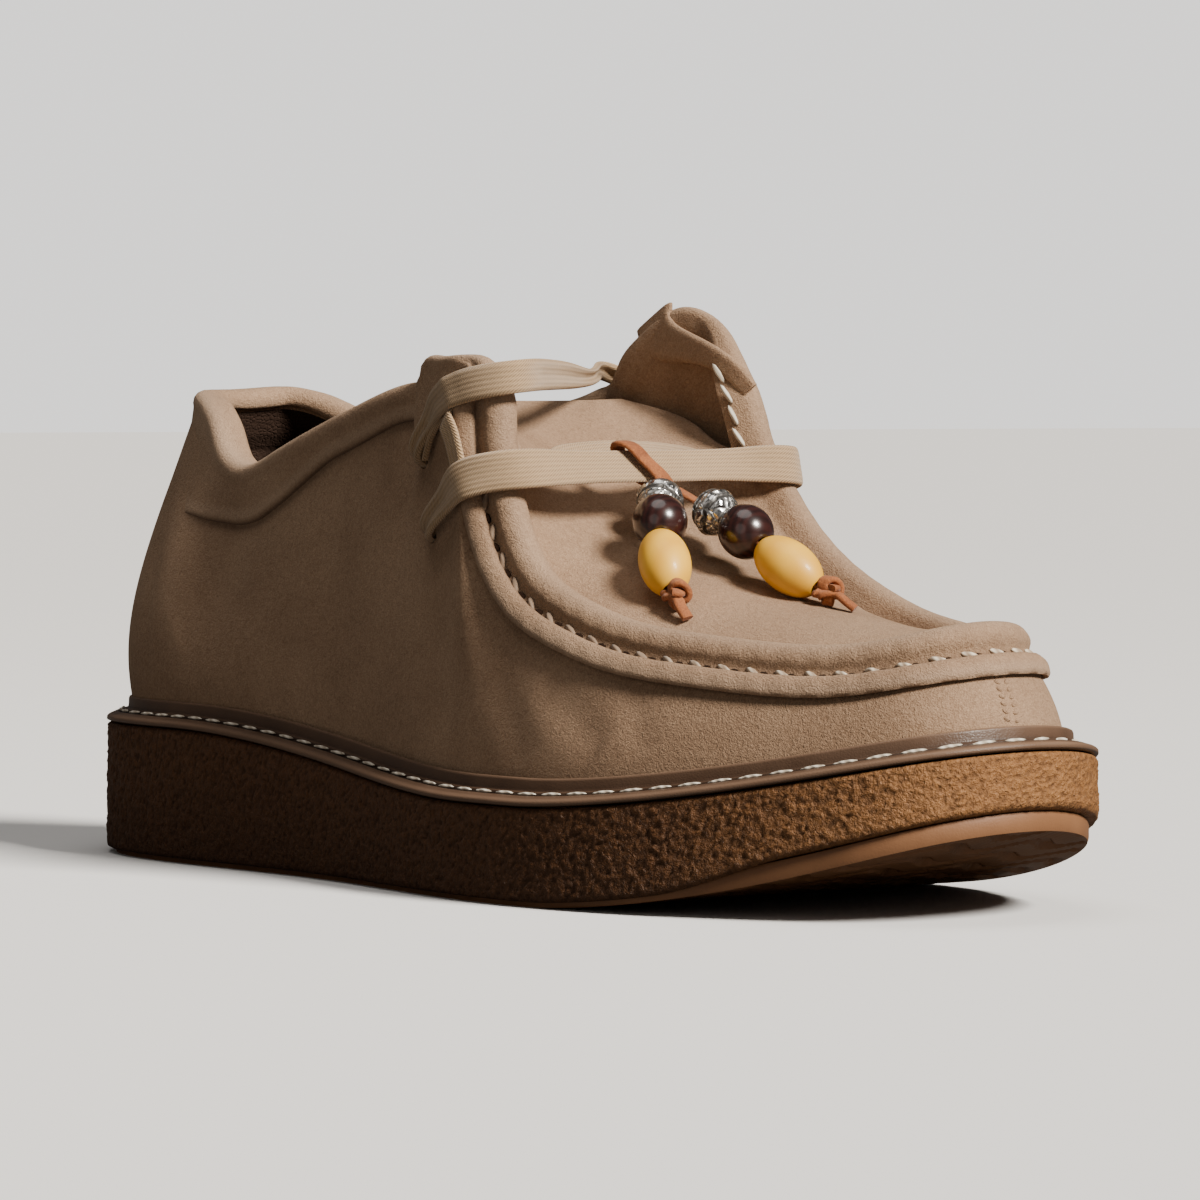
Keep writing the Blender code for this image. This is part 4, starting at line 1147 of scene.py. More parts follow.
def makeWeltStrip():
    size = weltSizes
    edge = soleSizes["ledge"]
    inner = edge + soleSizes["lip"]
    lip = soleSizes["lipHeight"]
    mid, half, deep = size["channel"], size["channelHalf"], size["channelDepth"]
    # Inset from the outline, height above the rim or the seat, rub, painted shade in the stitch channel, at
    # the lip and where the upper sits
    section = (
        (inner, seat, 0.0, 0.0, 0.3), (0.5, seat, 0.0, 0.0, 0.6), (0.12, seat, 0.15, 0.1, 0.1),
        (0.0, seat, 0.35, 0.35, 0.0), (0.05, rim, -1.75, 0.6, 0.0), (0.30, rim, -1.45, 0.9, 0.0),
        (0.65, rim, -1.22, 0.7, 0.0), (1.3, rim, -0.95, 0.2, 0.0), (mid - half - 0.25, rim, -0.62, 0.1, 0.0),
        (mid - half, rim, -0.66, 0.0, 0.4), (mid - half + 0.2, rim, -0.55 - deep, 0.0, 0.9),
        (mid, rim, -0.40 - deep, 0.0, 1.0), (mid + half - 0.2, rim, -0.30 - deep, 0.0, 0.9),
        (mid + half, rim, -0.14, 0.0, 0.4), (mid + half + 0.15, rim, -0.04, 0.1, 0.0),
        (edge - 0.45, rim, 0.02, 0.0, 0.25), (edge - 0.10, rim, 0.18, 0.0, 0.45),
        (edge + 0.05, rim, 0.6, 0.05, 0.1), (edge + 0.12, rim, lip - 0.55, 0.2, 0.0),
        (edge + 0.28, rim, lip - 0.15, 0.7, 0.0), (edge + 0.55, rim, lip, 0.8, 0.0),
        (inner - 0.2, rim, lip - 0.1, 0.4, 0.2), (inner, rim, lip - 0.5, 0.0, 0.7),
    )
    rings = [soleRing(size["columns"], inset, lambda x: ground(x) + rise)
             for inset, ground, rise in [row[:3] for row in section]]
    points, faces = stackRings(rings, looped=True)
    rub, hollowShadeAndTarnish = [np.repeat([row[place] for row in section], size["columns"]) for place in (3, 4)]
    marks = {"rub": rub * size["rubShare"], "hollowShadeAndTarnish": hollowShadeAndTarnish}
    piece = meshPiece("weltStrip", points, faces, [finish["welt"]], 55.0, marks=marks)
    attach(piece, "welt_leather", "welt")


# Rings of the insole: more inset, height above the seat
insoleSizes = {
    "inset": 4.3,
    "columns": 360,
    "rings": ((0.8, 0.0), (0.0, 0.8), (0.0, 2.0), (0.25, 2.55), (0.8, 2.9), (1.8, 3.05), (4.0, 3.0),
              (9.0, 2.8), (15.0, 2.6)),
}


def makeInsole():
    inset = soleSizes["ledge"] + soleSizes["lip"] + insoleSizes["inset"]
    rings = [soleRing(insoleSizes["columns"], inset + more, lambda x: seat(x) + rise)
             for more, rise in insoleSizes["rings"]]
    points, faces = stackRings(rings)
    attach(meshPiece("insoleSheet", points, faces, [finish["lining"]]), "lining_leather", "insole")


makeOutsole()
makeMidsole()
makeWeltStrip()
makeInsole()
print("sole made")


# Stitches and the painted shade of needle holes, laid along lines by one geometry tree

def makeStitchRule():
    tree, given, made = makeGroup(
        "stitchRow",
        (("Line", "Geometry", None), ("Pitch", "Float", 0.006), ("Length", "Float", 0.005),
         ("Width", "Float", 0.001), ("Height", "Float", 0.0008), ("Slant", "Float", 0.0),
         ("Arch", "Float", 0.0), ("Jitter", "Float", 0.05), ("Seed", "Int", 3), ("Finish", "Material", None)),
        (("Stitches", "Geometry"),),
        "GeometryNodeTree",
    )
    curve = addNode(tree, "GeometryNodeMeshToCurve", {"Mesh": given["Line"]}).outputs[0]
    spacing = {"Curve": curve, "Length": given["Pitch"]}
    spaced = addNode(tree, "GeometryNodeResampleCurve", spacing, mode="LENGTH").outputs[0]
    tangent = addNode(tree, "GeometryNodeInputTangent").outputs[0]
    outward = addNode(tree, "GeometryNodeInputNamedAttribute", {"Name": "outward"}, data_type="FLOAT_VECTOR")
    turn = addNode(tree, "FunctionNodeAlignRotationToVector", {"Vector": tangent}, axis="X").outputs[0]
    facing = {"Rotation": turn, "Vector": outward.outputs[0]}
    turn = addNode(tree, "FunctionNodeAlignRotationToVector", facing, axis="Z", pivot_axis="X").outputs[0]
    limits = {2: mathNode(tree, "MULTIPLY", given["Jitter"], -1.0), 3: given["Jitter"], "Seed": given["Seed"]}
    stray = addNode(tree, "FunctionNodeRandomValue", limits).outputs[1]
    lean = {"Axis": (0.0, 0.0, 1.0), "Angle": mathNode(tree, "ADD", given["Slant"], stray)}
    lean = addNode(tree, "FunctionNodeAxisAngleToRotation", lean).outputs[0]
    turns = {"Rotation": turn, "Rotate By": lean}
    turn = addNode(tree, "FunctionNodeRotateRotation", turns, rotation_space="LOCAL").outputs[0]
    ball = addNode(tree, "GeometryNodeMeshUVSphere", {"Segments": 8, "Rings": 6, "Radius": 0.5}).outputs[0]
    smooth = addNode(tree, "GeometryNodeSetShadeSmooth", {"Geometry": ball}).outputs[0]
    place = addNode(tree, "ShaderNodeSeparateXYZ", {0: addNode(tree, "GeometryNodeInputPosition").outputs[0]})
    sag = mathNode(tree, "POWER", mathNode(tree, "ABSOLUTE", place.outputs["X"]), 2.0)
    sag = mathNode(tree, "MULTIPLY", sag, -1.0)
    sag = mathNode(tree, "MULTIPLY", sag, given["Arch"])
    bend = addNode(tree, "ShaderNodeCombineXYZ", {"Z": sag}).outputs[0]
    arched = addNode(tree, "GeometryNodeSetPosition", {"Geometry": smooth, "Offset": bend}).outputs[0]
    size = {"X": given["Length"], "Y": given["Width"], "Z": given["Height"]}
    size = addNode(tree, "ShaderNodeCombineXYZ", size).outputs[0]
    stitch = addNode(tree, "GeometryNodeTransform", {"Geometry": arched, "Scale": size}).outputs[0]
    rows = {"Points": spaced, "Instance": stitch, "Rotation": turn}
    laid = addNode(tree, "GeometryNodeInstanceOnPoints", rows).outputs[0]
    real = addNode(tree, "GeometryNodeRealizeInstances", {"Geometry": laid}).outputs[0]
    done = addNode(tree, "GeometryNodeSetMaterial", {"Geometry": real, "Material": given["Finish"]})
    tree.links.new(done.outputs[0], made["Stitches"])
    return tree


stitchRule = makeStitchRule()


def stitchPiece(name, slotName, line, away, material, size):
    # A row of stitches along a line, each facing the outward direction there
    mesh = bpy.data.meshes.new(name)
    mesh.from_pydata(inMetres(line).tolist(), [(i, i + 1) for i in range(len(line) - 1)], [])
    outward = mesh.attributes.new("outward", "FLOAT_VECTOR", "POINT")
    outward.data.foreach_set("vector", away.astype(np.float32).ravel())
    piece = link(bpy.data.objects.new(name, mesh))
    inputs = {label: size[label.lower()] * mm for label in ("Pitch", "Length", "Width", "Height")}
    inputs.update({label: size[label.lower()] for label in ("Arch", "Jitter", "Seed")})
    applyRule(piece, stitchRule, {**inputs, "Slant": math.radians(size["slant"]), "Finish": material})
    attach(piece, slotName)


weltStitch = {"pitch": 6.6, "length": 5.2, "width": 0.85, "height": 0.6, "slant": 4.0, "arch": 0.5,
              "jitter": 0.05, "seed": 3, "points": 900, "sunk": 0.28, "lean": 0.35}


def makeWeltStitches():
    # The stitched face leans outward
    size = weltStitch
    ring = soleRing(size["points"], weltSizes["channel"], lambda x: rim(x) - size["sunk"])
    line = np.vstack((ring, ring[:1]))
    away = np.tile((0.0, 0.0, 1.0), (len(line), 1))
    away[:, :2] += outlinePoint(np.arange(len(line)) * 2.0 / size["points"])[1] * size["lean"]
    stitchPiece("weltStitches", "lace_cotton", line, unit(away), finish["thread"], size)


makeWeltStitches()
print("welt stitches made")


# Ribs of the upper's side wall from heel to toe: outline x of the foot, outline x of the top, z of the top,
# inset of the top from the outline, how far the edge is a seam roll, and edge radius
heelRib = (0.0, 0.0, 98.5, 18.8, 0.0, 2.6)
toeRib = (272.0, 272.0, 50.9, 12.5, 1.0, 1.5)
lateralRibs = (
    (6.0, 5.0, 98.2, 21.2, 0.0, 2.6),
    (20.0, 17.0, 97.2, 22.5, 0.0, 2.6),
    (34.0, 31.0, 95.4, 21.9, 0.0, 2.6),
    (42.0, 39.0, 91.8, 20.8, 0.0, 2.6),
    (48.0, 46.0, 86.6, 19.0, 0.0, 2.6),
    (58.0, 56.0, 82.8, 17.0, 0.0, 2.6),
    (72.0, 71.0, 85.8, 15.0, 0.0, 2.6),
    (90.0, 89.0, 91.3, 14.0, 0.0, 2.6),
    (108.0, 107.0, 96.7, 14.0, 0.0, 2.3),
    (120.0, 119.5, 99.5, 14.8, 0.0, 1.5),
    (123.5, 122.9, 100.4, 15.4, 0.0, 1.5),
    (124.6, 123.9, 101.6, 15.6, 0.0, 1.5),
    (125.4, 124.2, 103.6, 15.8, 0.0, 1.5),
    (127.2, 125.6, 105.0, 16.0, 0.0, 1.5),
    (132.0, 131.0, 105.4, 16.0, 0.0, 1.5),
    (139.0, 138.5, 105.5, 15.6, 0.0, 1.5),
    (144.0, 144.5, 104.9, 15.0, 0.15, 1.5),
    (147.5, 147.4, 103.2, 14.0, 0.45, 1.5),
    (150.0, 149.4, 100.2, 13.0, 0.8, 1.5),
    (152.0, 150.8, 95.5, 12.2, 1.0, 1.5),
    (155.0, 152.2, 86.0, 11.8, 1.0, 1.5),
    (158.0, 154.6, 77.0, 12.0, 1.0, 1.5),
    (162.0, 159.5, 67.5, 12.3, 1.0, 1.5),
    (170.0, 168.5, 59.3, 12.5, 1.0, 1.5),
    (182.0, 182.0, 54.0, 12.5, 1.0, 1.5),
    (197.0, 197.0, 50.1, 12.5, 1.0, 1.5),
    (214.0, 214.0, 48.0, 12.5, 1.0, 1.5),
    (232.0, 232.0, 46.6, 12.5, 1.0, 1.5),
    (247.0, 247.0, 46.8, 12.5, 1.0, 1.5),
    (259.0, 259.0, 48.5, 12.5, 1.0, 1.5),
    (268.5, 268.5, 50.0, 12.5, 1.0, 1.5),
)
medialRibs = (
    (6.0, 5.0, 99.2, 17.7, 0.0, 2.6),
    (20.0, 17.0, 98.3, 17.5, 0.0, 2.6),
    (34.0, 31.0, 95.1, 16.6, 0.0, 2.6),
    (43.0, 41.0, 92.0, 16.0, 0.0, 2.6),
    (50.0, 49.0, 89.9, 15.8, 0.0, 2.6),
    (60.0, 59.0, 88.0, 15.3, 0.0, 2.6),
    (73.0, 72.0, 88.6, 14.6, 0.0, 2.6),
    (88.0, 87.0, 91.6, 14.0, 0.0, 2.6),
    (101.0, 100.0, 95.0, 14.0, 0.0, 2.3),
    (110.0, 110.0, 97.2, 14.6, 0.0, 1.7),
    (115.5, 116.0, 100.5, 15.2, 0.0, 1.5),
    (119.0, 119.0, 105.2, 15.8, 0.0, 1.5),
    (125.0, 125.0, 110.5, 16.3, 0.0, 1.5),
    (133.0, 133.5, 115.2, 16.5, 0.0, 1.5),
    (141.0, 141.5, 114.4, 16.2, 0.0, 1.5),
    (147.0, 146.9, 109.0, 15.8, 0.35, 1.5),
    (151.0, 149.4, 102.6, 15.2, 0.75, 1.5),
    (154.5, 152.1, 95.5, 14.4, 1.0, 1.5),
    (158.0, 154.9, 86.0, 13.7, 1.0, 1.5),
    (162.0, 159.5, 78.0, 13.1, 1.0, 1.5),
    (168.0, 166.0, 69.5, 12.5, 1.0, 1.5),
    (178.0, 177.0, 61.2, 12.5, 1.0, 1.5),
    (191.0, 191.0, 55.2, 12.5, 1.0, 1.5),
    (206.0, 206.0, 51.2, 12.5, 1.0, 1.5),
    (222.0, 222.0, 49.2, 12.5, 1.0, 1.5),
    (238.0, 238.0, 48.2, 12.5, 1.0, 1.5),
    (252.0, 252.0, 48.8, 12.5, 1.0, 1.5),
    (265.0, 265.0, 50.3, 12.5, 1.0, 1.5),
)
# Centre line of the apron and tongue: x, z
crestLine = ((120.0, 97.5), (130.0, 93.0), (140.0, 86.8), (150.0, 79.5), (162.0, 72.0), (180.0, 63.8),
             (200.0, 58.0), (220.0, 54.4), (240.0, 53.0), (256.0, 52.6))
# Tongue: x of its side edges, x of its middle, y of each side edge, rise of the side edges
tongueTable = ((149.0, 140.5, -24.9, 24.0, 2.4), (142.0, 135.0, -25.6, 24.6, 2.0),
               (134.0, 129.0, -25.0, 23.4, 1.2), (125.0, 122.5, -22.0, 20.5, 0.4))
eyelets = ((137.5, -36.6, 70.0), (129.5, -33.0, 84.5), (139.0, 33.0, 71.5), (127.0, 28.4, 85.5))
upperSizes = {
    "spacing": 1.5,
    "seamColumns": 132,
    "wallRows": 46,
    "footInset": 6.2,
    "wall": 2.0,
    "wallCurve": 2.0,
    "heelCurve": 2.15,
    "heelBelly": 2.3,
    "bellyPower": 0.62,
    "heelBlend": (20.0, 90.0),
    "heelSlope": 0.36,
    "heelFade": (28.0, 30.0),
    "softRows": (-9, 8),
    "softPasses": 60,
    "softShare": 0.5,
    "creaseFade": (5.0, 6.0),
    "rollRadius": 3.5,
    "rollCentre": (-3.85, 1.1),
    "rollAngles": (-22.0, 0.0, 25.0, 52.0, 80.0, 108.0, 136.0, 162.0),
    "valley": (-8.2, 0.3),
    "sectionPoints": (13, 22),
    "plainDrop": (7.0, 10),
    "pinches": ((17, 3.0, 0.16), (7, 3.0, 0.14)),
    "pinchOut": 0.4,
    "liningSection": ((-8.3, -4.7, -1.6), (-1.8, -2.8, -6.0)),
    "liningDrop": (2.0, 6.0),
    "liningRows": 6,
    "crownPower": 2.4,
    "throatZ": 86.0,
    "throatBow": 9.0,
    "throatReach": 40.0,
    "throatFace": (0.7, 0.0, 2.2),
    "crownReach": 30.0,
    "wallInset": 0.6,
    "apronPoints": 57,
    "tongueRows": 44,
    "tongueThickness": 2.4,
    "tongueArc": 5,
    "tongueRub": 0.3,
    "seamPitch": 6.2,
    "plainRoll": 0.02,
    "earsFrom": (112.0, 96.0),
    "earInside": 74.0,
    "bandFront": 124.0,
    "bandInside": 6,
}
eyeletSizes = {"radius": 1.6, "tilt": 12.0, "depth": 12.0, "sides": 20}
# Ears: x of the back edge on each side, how far they stand proud and from what height up
earTab = {
    "back": (124.4, 117.0),
    "rise": 1.9,
    "step": 1.4,
    "low": 84.0,
    "blend": 9.0,
    "fade": (16.0, 8.0),
    "apex": 21,
    "dimple": (139.5, -30.5, 102.3),
    "dimpleWidth": 1.7,
    "dimpleDepth": 0.9,
}
# Hanging lip of the seam, from the wall to the stitch groove, as outward and upward offsets
seamLip = ((1.3, -4.4), (2.2, -4.95), (3.0, -5.1), (3.35, -4.7), (3.3, -3.8), (2.9, -2.6), (2.0, -1.5),
           (0.9, -1.05), (0.05, -1.5))
# Creases of the wall: side, two ends as x and z, width, depth inward
creases = (
    (-1.0, (196.0, 31.0), (178.0, 43.0), 4.5, 0.55),
    (-1.0, (206.0, 30.0), (200.0, 42.0), 3.5, 0.35),
    (-1.0, (176.0, 27.0), (164.0, 44.0), 5.0, 0.40),
    (-1.0, (150.0, 33.0), (138.0, 58.0), 8.0, 0.55),
    (-1.0, (104.0, 45.0), (92.0, 70.0), 9.0, 0.5),
    (-1.0, (27.5, 68.0), (33.0, 38.0), 1.3, 0.40),
    (-1.0, (64.0, 62.0), (44.0, 48.0), 7.0, 0.45),
    (1.0, (200.0, 32.0), (184.0, 44.0), 4.5, 0.55),
    (1.0, (214.0, 31.0), (208.0, 41.0), 3.5, 0.35),
    (1.0, (156.0, 34.0), (142.0, 60.0), 8.0, 0.55),
    (1.0, (100.0, 46.0), (92.0, 72.0), 9.0, 0.5),
    (1.0, (20.0, 70.0), (24.0, 38.0), 1.3, 0.35),
    (1.0, (60.0, 64.0), (44.0, 46.0), 7.0, 0.45),
)


def ribColumns():
    # Columns: foot and top parameters, top z, inset, roll share and edge radius
    size = upperSizes
    rows = []
    for medial, ribs in ((False, (heelRib,) + lateralRibs + (toeRib,)), (True, medialRibs[::-1])):
        for foot, top, z, inset, roll, edge in ribs:
            rows.append((outlineParameter(foot, medial), outlineParameter(top, medial), z, inset, roll, edge))
    count = len(rows)
    table = np.array(rows[-3:] + rows + rows[:4])
    table[:3, :2] -= 2.0
    table[count + 3:, :2] += 2.0
    xy, normal = outlinePoint(table[:, 1])
    run = runLength(np.column_stack((xy - normal * table[:, 3:4], table[:, 2])))
    toe = 3 + len(lateralRibs) + 1
    low = table[:, 2] <= size["throatZ"]
    first = next(i for i in range(3, toe) if table[i, 4] == 1.0 and low[i])
    last = next(i for i in range(count + 2, toe, -1) if table[i, 4] == 1.0 and low[i])

    def plain(start, end):
        places = []
        for i in range(start, end):
            parts = max(1, round((run[i + 1] - run[i]) / size["spacing"]))
            places += list(np.linspace(run[i], run[i + 1], parts, endpoint=False))
        return places

    before = plain(3, first)
    seam = size["seamColumns"]
    places = before + list(np.linspace(run[first], run[toe], seam, endpoint=False))
    places += list(np.linspace(run[toe], run[last], seam, endpoint=False)) + plain(last, count + 3)
    return spline(run, table, places), len(before)


def gridNormals(grid, closed):
    if closed:
        along = np.roll(grid, -1, axis=1) - np.roll(grid, 1, axis=1)
    else:
        along = np.gradient(grid, axis=1)
    return unit(np.cross(along, np.gradient(grid, axis=0)) + 1e-12)


def upperFrames(columns):
    # Top edge of the upper: points, outward and upward directions at each column
    xy, normal = outlinePoint(columns[:, 1])
    top = np.column_stack((xy - normal * columns[:, 3:4], columns[:, 2]))
    along = unit(np.roll(top, -1, axis=0) - np.roll(top, 1, axis=0))
    outward = squared(np.column_stack((normal, np.zeros(len(normal)))), along)
    return top, outward, np.cross(outward, along)


def seamSection():
    size = upperSizes
    centre, radius = size["rollCentre"], size["rollRadius"]
    knots = list(seamLip)
    for angle in size["rollAngles"]:
        turn = math.radians(angle)
        knots.append((centre[0] + radius * math.cos(turn), centre[1] + radius * math.sin(turn)))
    knots.append(size["valley"])
    knots = np.array(knots)
    run = runLength(knots)
    groove = run[len(seamLip) - 1]
    below, above = size["sectionPoints"]
    places = np.concatenate((np.linspace(0.0, groove, below), np.linspace(groove, run[-1], above)[1:]))
    return spline(run, knots, places)


def plainSection(radius, count):
    drop, steps = upperSizes["plainDrop"]
    places = [(radius, -radius - drop + drop * i / steps) for i in range(steps)]
    for i in range(count - steps):
        turn = math.pi * i / (count - steps - 1)
        places.append((radius * math.cos(turn), radius * math.sin(turn) - radius))
    return np.array(places)


def rowMark(row, table):
    # Sum of soft marks, each given as its row, width in rows and share
    return sum(share * bump(row - middle, width) for middle, width, share in table)


def edgeRows(columns, frames):
    # Outer rows of the edge, then the top rows of the lining
    size = upperSizes
    top, outward, upward = frames
    roll = np.clip(columns[:, 4:5], 0.0, 1.0)
    radius = columns[:, 5]
    seam = seamSection()
    plain = np.array([plainSection(each, len(seam)) for each in radius])
    pinch = np.cos(2.0 * math.pi * runLength(top) / size["seamPitch"])[:, None]
    begin, reach = size["heelFade"]
    slope = size["heelSlope"] * (1.0 - ease((top[:, 0:1] - begin) / reach))

    def place(offset, sunk):
        # The rounding follows the edge; below it the wall drops straight down, and leans out at the heel
        turned = np.maximum(offset[:, 1:2], -radius[:, None])
        dropped = offset[:, 1:2] - turned
        rise = upward * (turned + dropped * roll) + np.array((0.0, 0.0, 1.0)) * dropped * (1.0 - roll)
        out = offset[:, 0:1] + sunk * size["pinchOut"] - dropped * slope
        return top + outward * out + rise + upward * sunk

    outer = []
    for i in range(len(seam)):
        offset = plain[:, i] * (1.0 - roll) + seam[i] * roll
        outer.append(place(offset, roll * pinch * rowMark(i, size["pinches"])))
    start, more = size["liningDrop"]
    inner = []
    for share in np.linspace(0.0, 1.0, size["liningRows"]):
        lining = [np.interp(share, (0.0, 0.5, 1.0), values) for values in size["liningSection"]]
        out = (1.0 - share) * -radius + share * (size["wallInset"] - radius)
        flat = np.column_stack((out, -radius - start - more * share))
        inner.append(place(flat * (1.0 - roll) + np.array(lining) * roll, 0.0))
    return np.array(outer), np.array(inner)


def creaseDepth(points, rows):
    # Push inward at each point of the wall from the table of creases
    depth = np.zeros(points.shape[:2])
    for side, start, end, width, deep in creases:
        begin = np.array(start)
        span = np.array(end) - begin
        here = points[:rows][:, :, (0, 2)] - begin
        share = np.clip((here * span).sum(axis=2) / (span ** 2).sum(), 0.0, 1.0)
        far = np.linalg.norm(here - share[:, :, None] * span, axis=2)
        ends = np.sqrt(np.clip(1.0 - np.abs(2.0 * share - 1.0) ** 3, 0.0, 1.0))
        depth[:rows] += deep * bump(far, width) * ends * (points[:rows, :, 1] * side > 0.0)
    return depth


def tabLift(columns, outer):
    # How far each ear stands proud of the collar band that runs in behind it
    tab = earTab
    x, z = outer[:, :, 0], outer[:, :, 2]
    lateral = outer[:, :, 1] < 0.0
    back = np.where(lateral, tab["back"][0], tab["back"][1])
    lift = tab["rise"] * ease((x - back) / tab["step"]) * ease((z - tab["low"]) / tab["blend"])
    lift *= 1.0 - ease((x - back - tab["fade"][0]) / tab["fade"][1])
    lift *= (1.0 - np.clip(columns[:, 4], 0.0, 1.0))[None, :]
    apex = upperSizes["wallRows"] + tab["apex"]
    rows = np.arange(len(outer))
    lift *= np.clip(1.0 - (rows - apex) / (len(outer) - 1.0 - apex), 0.0, 1.0)[:, None]
    far = np.linalg.norm(outer - np.array(tab["dimple"]), axis=2)
    return lift - tab["dimpleDepth"] * bump(far, tab["dimpleWidth"])


def upperSkins(columns, frames):
    # Outer skin from foot to edge and inner skin from edge to foot, rows by columns
    size = upperSizes
    edge, lining = edgeRows(columns, frames)
    xy, normal = outlinePoint(columns[:, 0])
    footXY = xy - normal * size["footInset"]
    foot = np.column_stack((footXY, seat(footXY[:, 0])))
    heel = 1.0 - ease((foot[:, 0:1] - size["heelBlend"][0]) / size["heelBlend"][1])
    rows = size["wallRows"]
    wall = []
    for i in range(rows):
        v = i / rows
        lean = v ** (size["wallCurve"] + (size["heelCurve"] - size["wallCurve"]) * heel)
        belly = size["heelBelly"] * math.sin(math.pi * v ** size["bellyPower"]) ** 2 * heel
        flat = foot[:, :2] + (edge[0] - foot)[:, :2] * lean + normal * belly
        wall.append(np.column_stack((flat, foot[:, 2] + (edge[0] - foot)[:, 2] * v)))
    outer = np.concatenate((np.array(wall), edge))
    soft = (1.0 - np.clip(columns[:, 4], 0.0, 1.0))[:, None] * size["softShare"]
    low, high = rows + size["softRows"][0], rows + size["softRows"][1]
    for turn in range(size["softPasses"]):
        middle = outer[low:high]
        target = (outer[low - 1:high - 1] + outer[low + 1:high + 1]) / 2.0
        outer[low:high] = middle + (target - middle) * soft
    wall = outer[:rows].copy()
    faced = gridNormals(outer[:rows + 1], closed=True)[:rows]
    faced[0, :, 2] = 0.0
    faced = unit(faced)
    away = np.column_stack((normal, np.zeros(len(normal))))
    faced *= np.sign((faced * away).sum(axis=2))[:, :, None]
    back = wall - faced * size["wall"]
    depth = creaseDepth(outer, rows)[:rows]
    start, stop = size["creaseFade"]
    fade = ease(np.arange(rows) / start) * ease((rows - np.arange(rows)) / stop)
    outer[:rows] -= faced * (depth * fade[:, None])[:, :, None]
    outer += away * tabLift(columns, outer)[:, :, None]
    return outer, np.concatenate((lining, back[::-1]))


def crest(x):
    table = np.array(crestLine)
    return spline(table[:, 0], table[:, 1], x)[:, 0]


def apronGrid(left, right, drop):
    # Rungs between two edge rows, crowned to the crest and bowed back at the throat
    size = upperSizes
    q = np.linspace(0.0, 1.0, size["apronPoints"])
    middle = 1.0 - np.abs(2.0 * q - 1.0) ** size["crownPower"]
    rungs = []
    for j in range(len(left)):
        rung = left[j] + (right[j] - left[j]) * q[:, None]
        fromThroat = (left[j, 0] + right[j, 0] - left[0, 0] - right[0, 0]) / 2.0
        bow = size["throatBow"] * (1.0 - ease(fromThroat / size["throatReach"]))
        rung[:, 0] -= bow * (1.0 - (2.0 * q - 1.0) ** 2)
        share = ease(np.linalg.norm(right[j] - left[j]) / size["crownReach"])
        half = len(q) // 2
        rung[:, 2] += (crest(rung[half, 0])[0] - drop - rung[half, 2]) * middle * share
        rungs.append(rung)
    return np.array(rungs)


def tongueRows(throat):
    # Rows that carry the apron on from its throat to the tongue's top edge
    q = np.linspace(0.0, 1.0, upperSizes["apronPoints"])
    across = np.abs(2.0 * q - 1.0)
    knots = [throat]
    for edgeX, middleX, lateral, medial, rise in tongueTable:
        x = edgeX + (middleX - edgeX) * (1.0 - across ** 2)
        y = lateral + (medial - lateral) * q
        knots.append(np.column_stack((x, y, crest(middleX)[0] + rise * across ** upperSizes["crownPower"])))
    knots = np.array(knots)
    run = runLength(knots[:, len(q) // 2])
    places = np.linspace(0.0, run[-1], upperSizes["tongueRows"])
    return spline(run, knots.reshape(len(knots), -1), places).reshape(len(places), len(q), 3)


def tongueRings(top):
    # Rings round the tongue, with a rounded edge on each side
    thick = upperSizes["tongueThickness"]
    turns = np.linspace(0.0, math.pi, upperSizes["tongueArc"] + 2)[1:-1]
    normal = gridNormals(top, closed=False)
    normal *= np.sign(normal[:, :, 2:3])
    rings = []
    for row, up in zip(top[1:], normal[1:]):
        under = row - up * thick
        sides = []
        for end, beside in ((-1, -3), (0, 1)):
            centre = row[end] - up[end] * thick / 2.0
            out = unit(row[end] - row[beside])
            sides.append([centre + up[end] * math.cos(a) * thick / 2.0 + out * math.sin(a) * thick / 2.0
                          for a in turns])
        rings.append(np.vstack((row, sides[0], under[::-1], sides[1][::-1])))
    return np.array(rings)


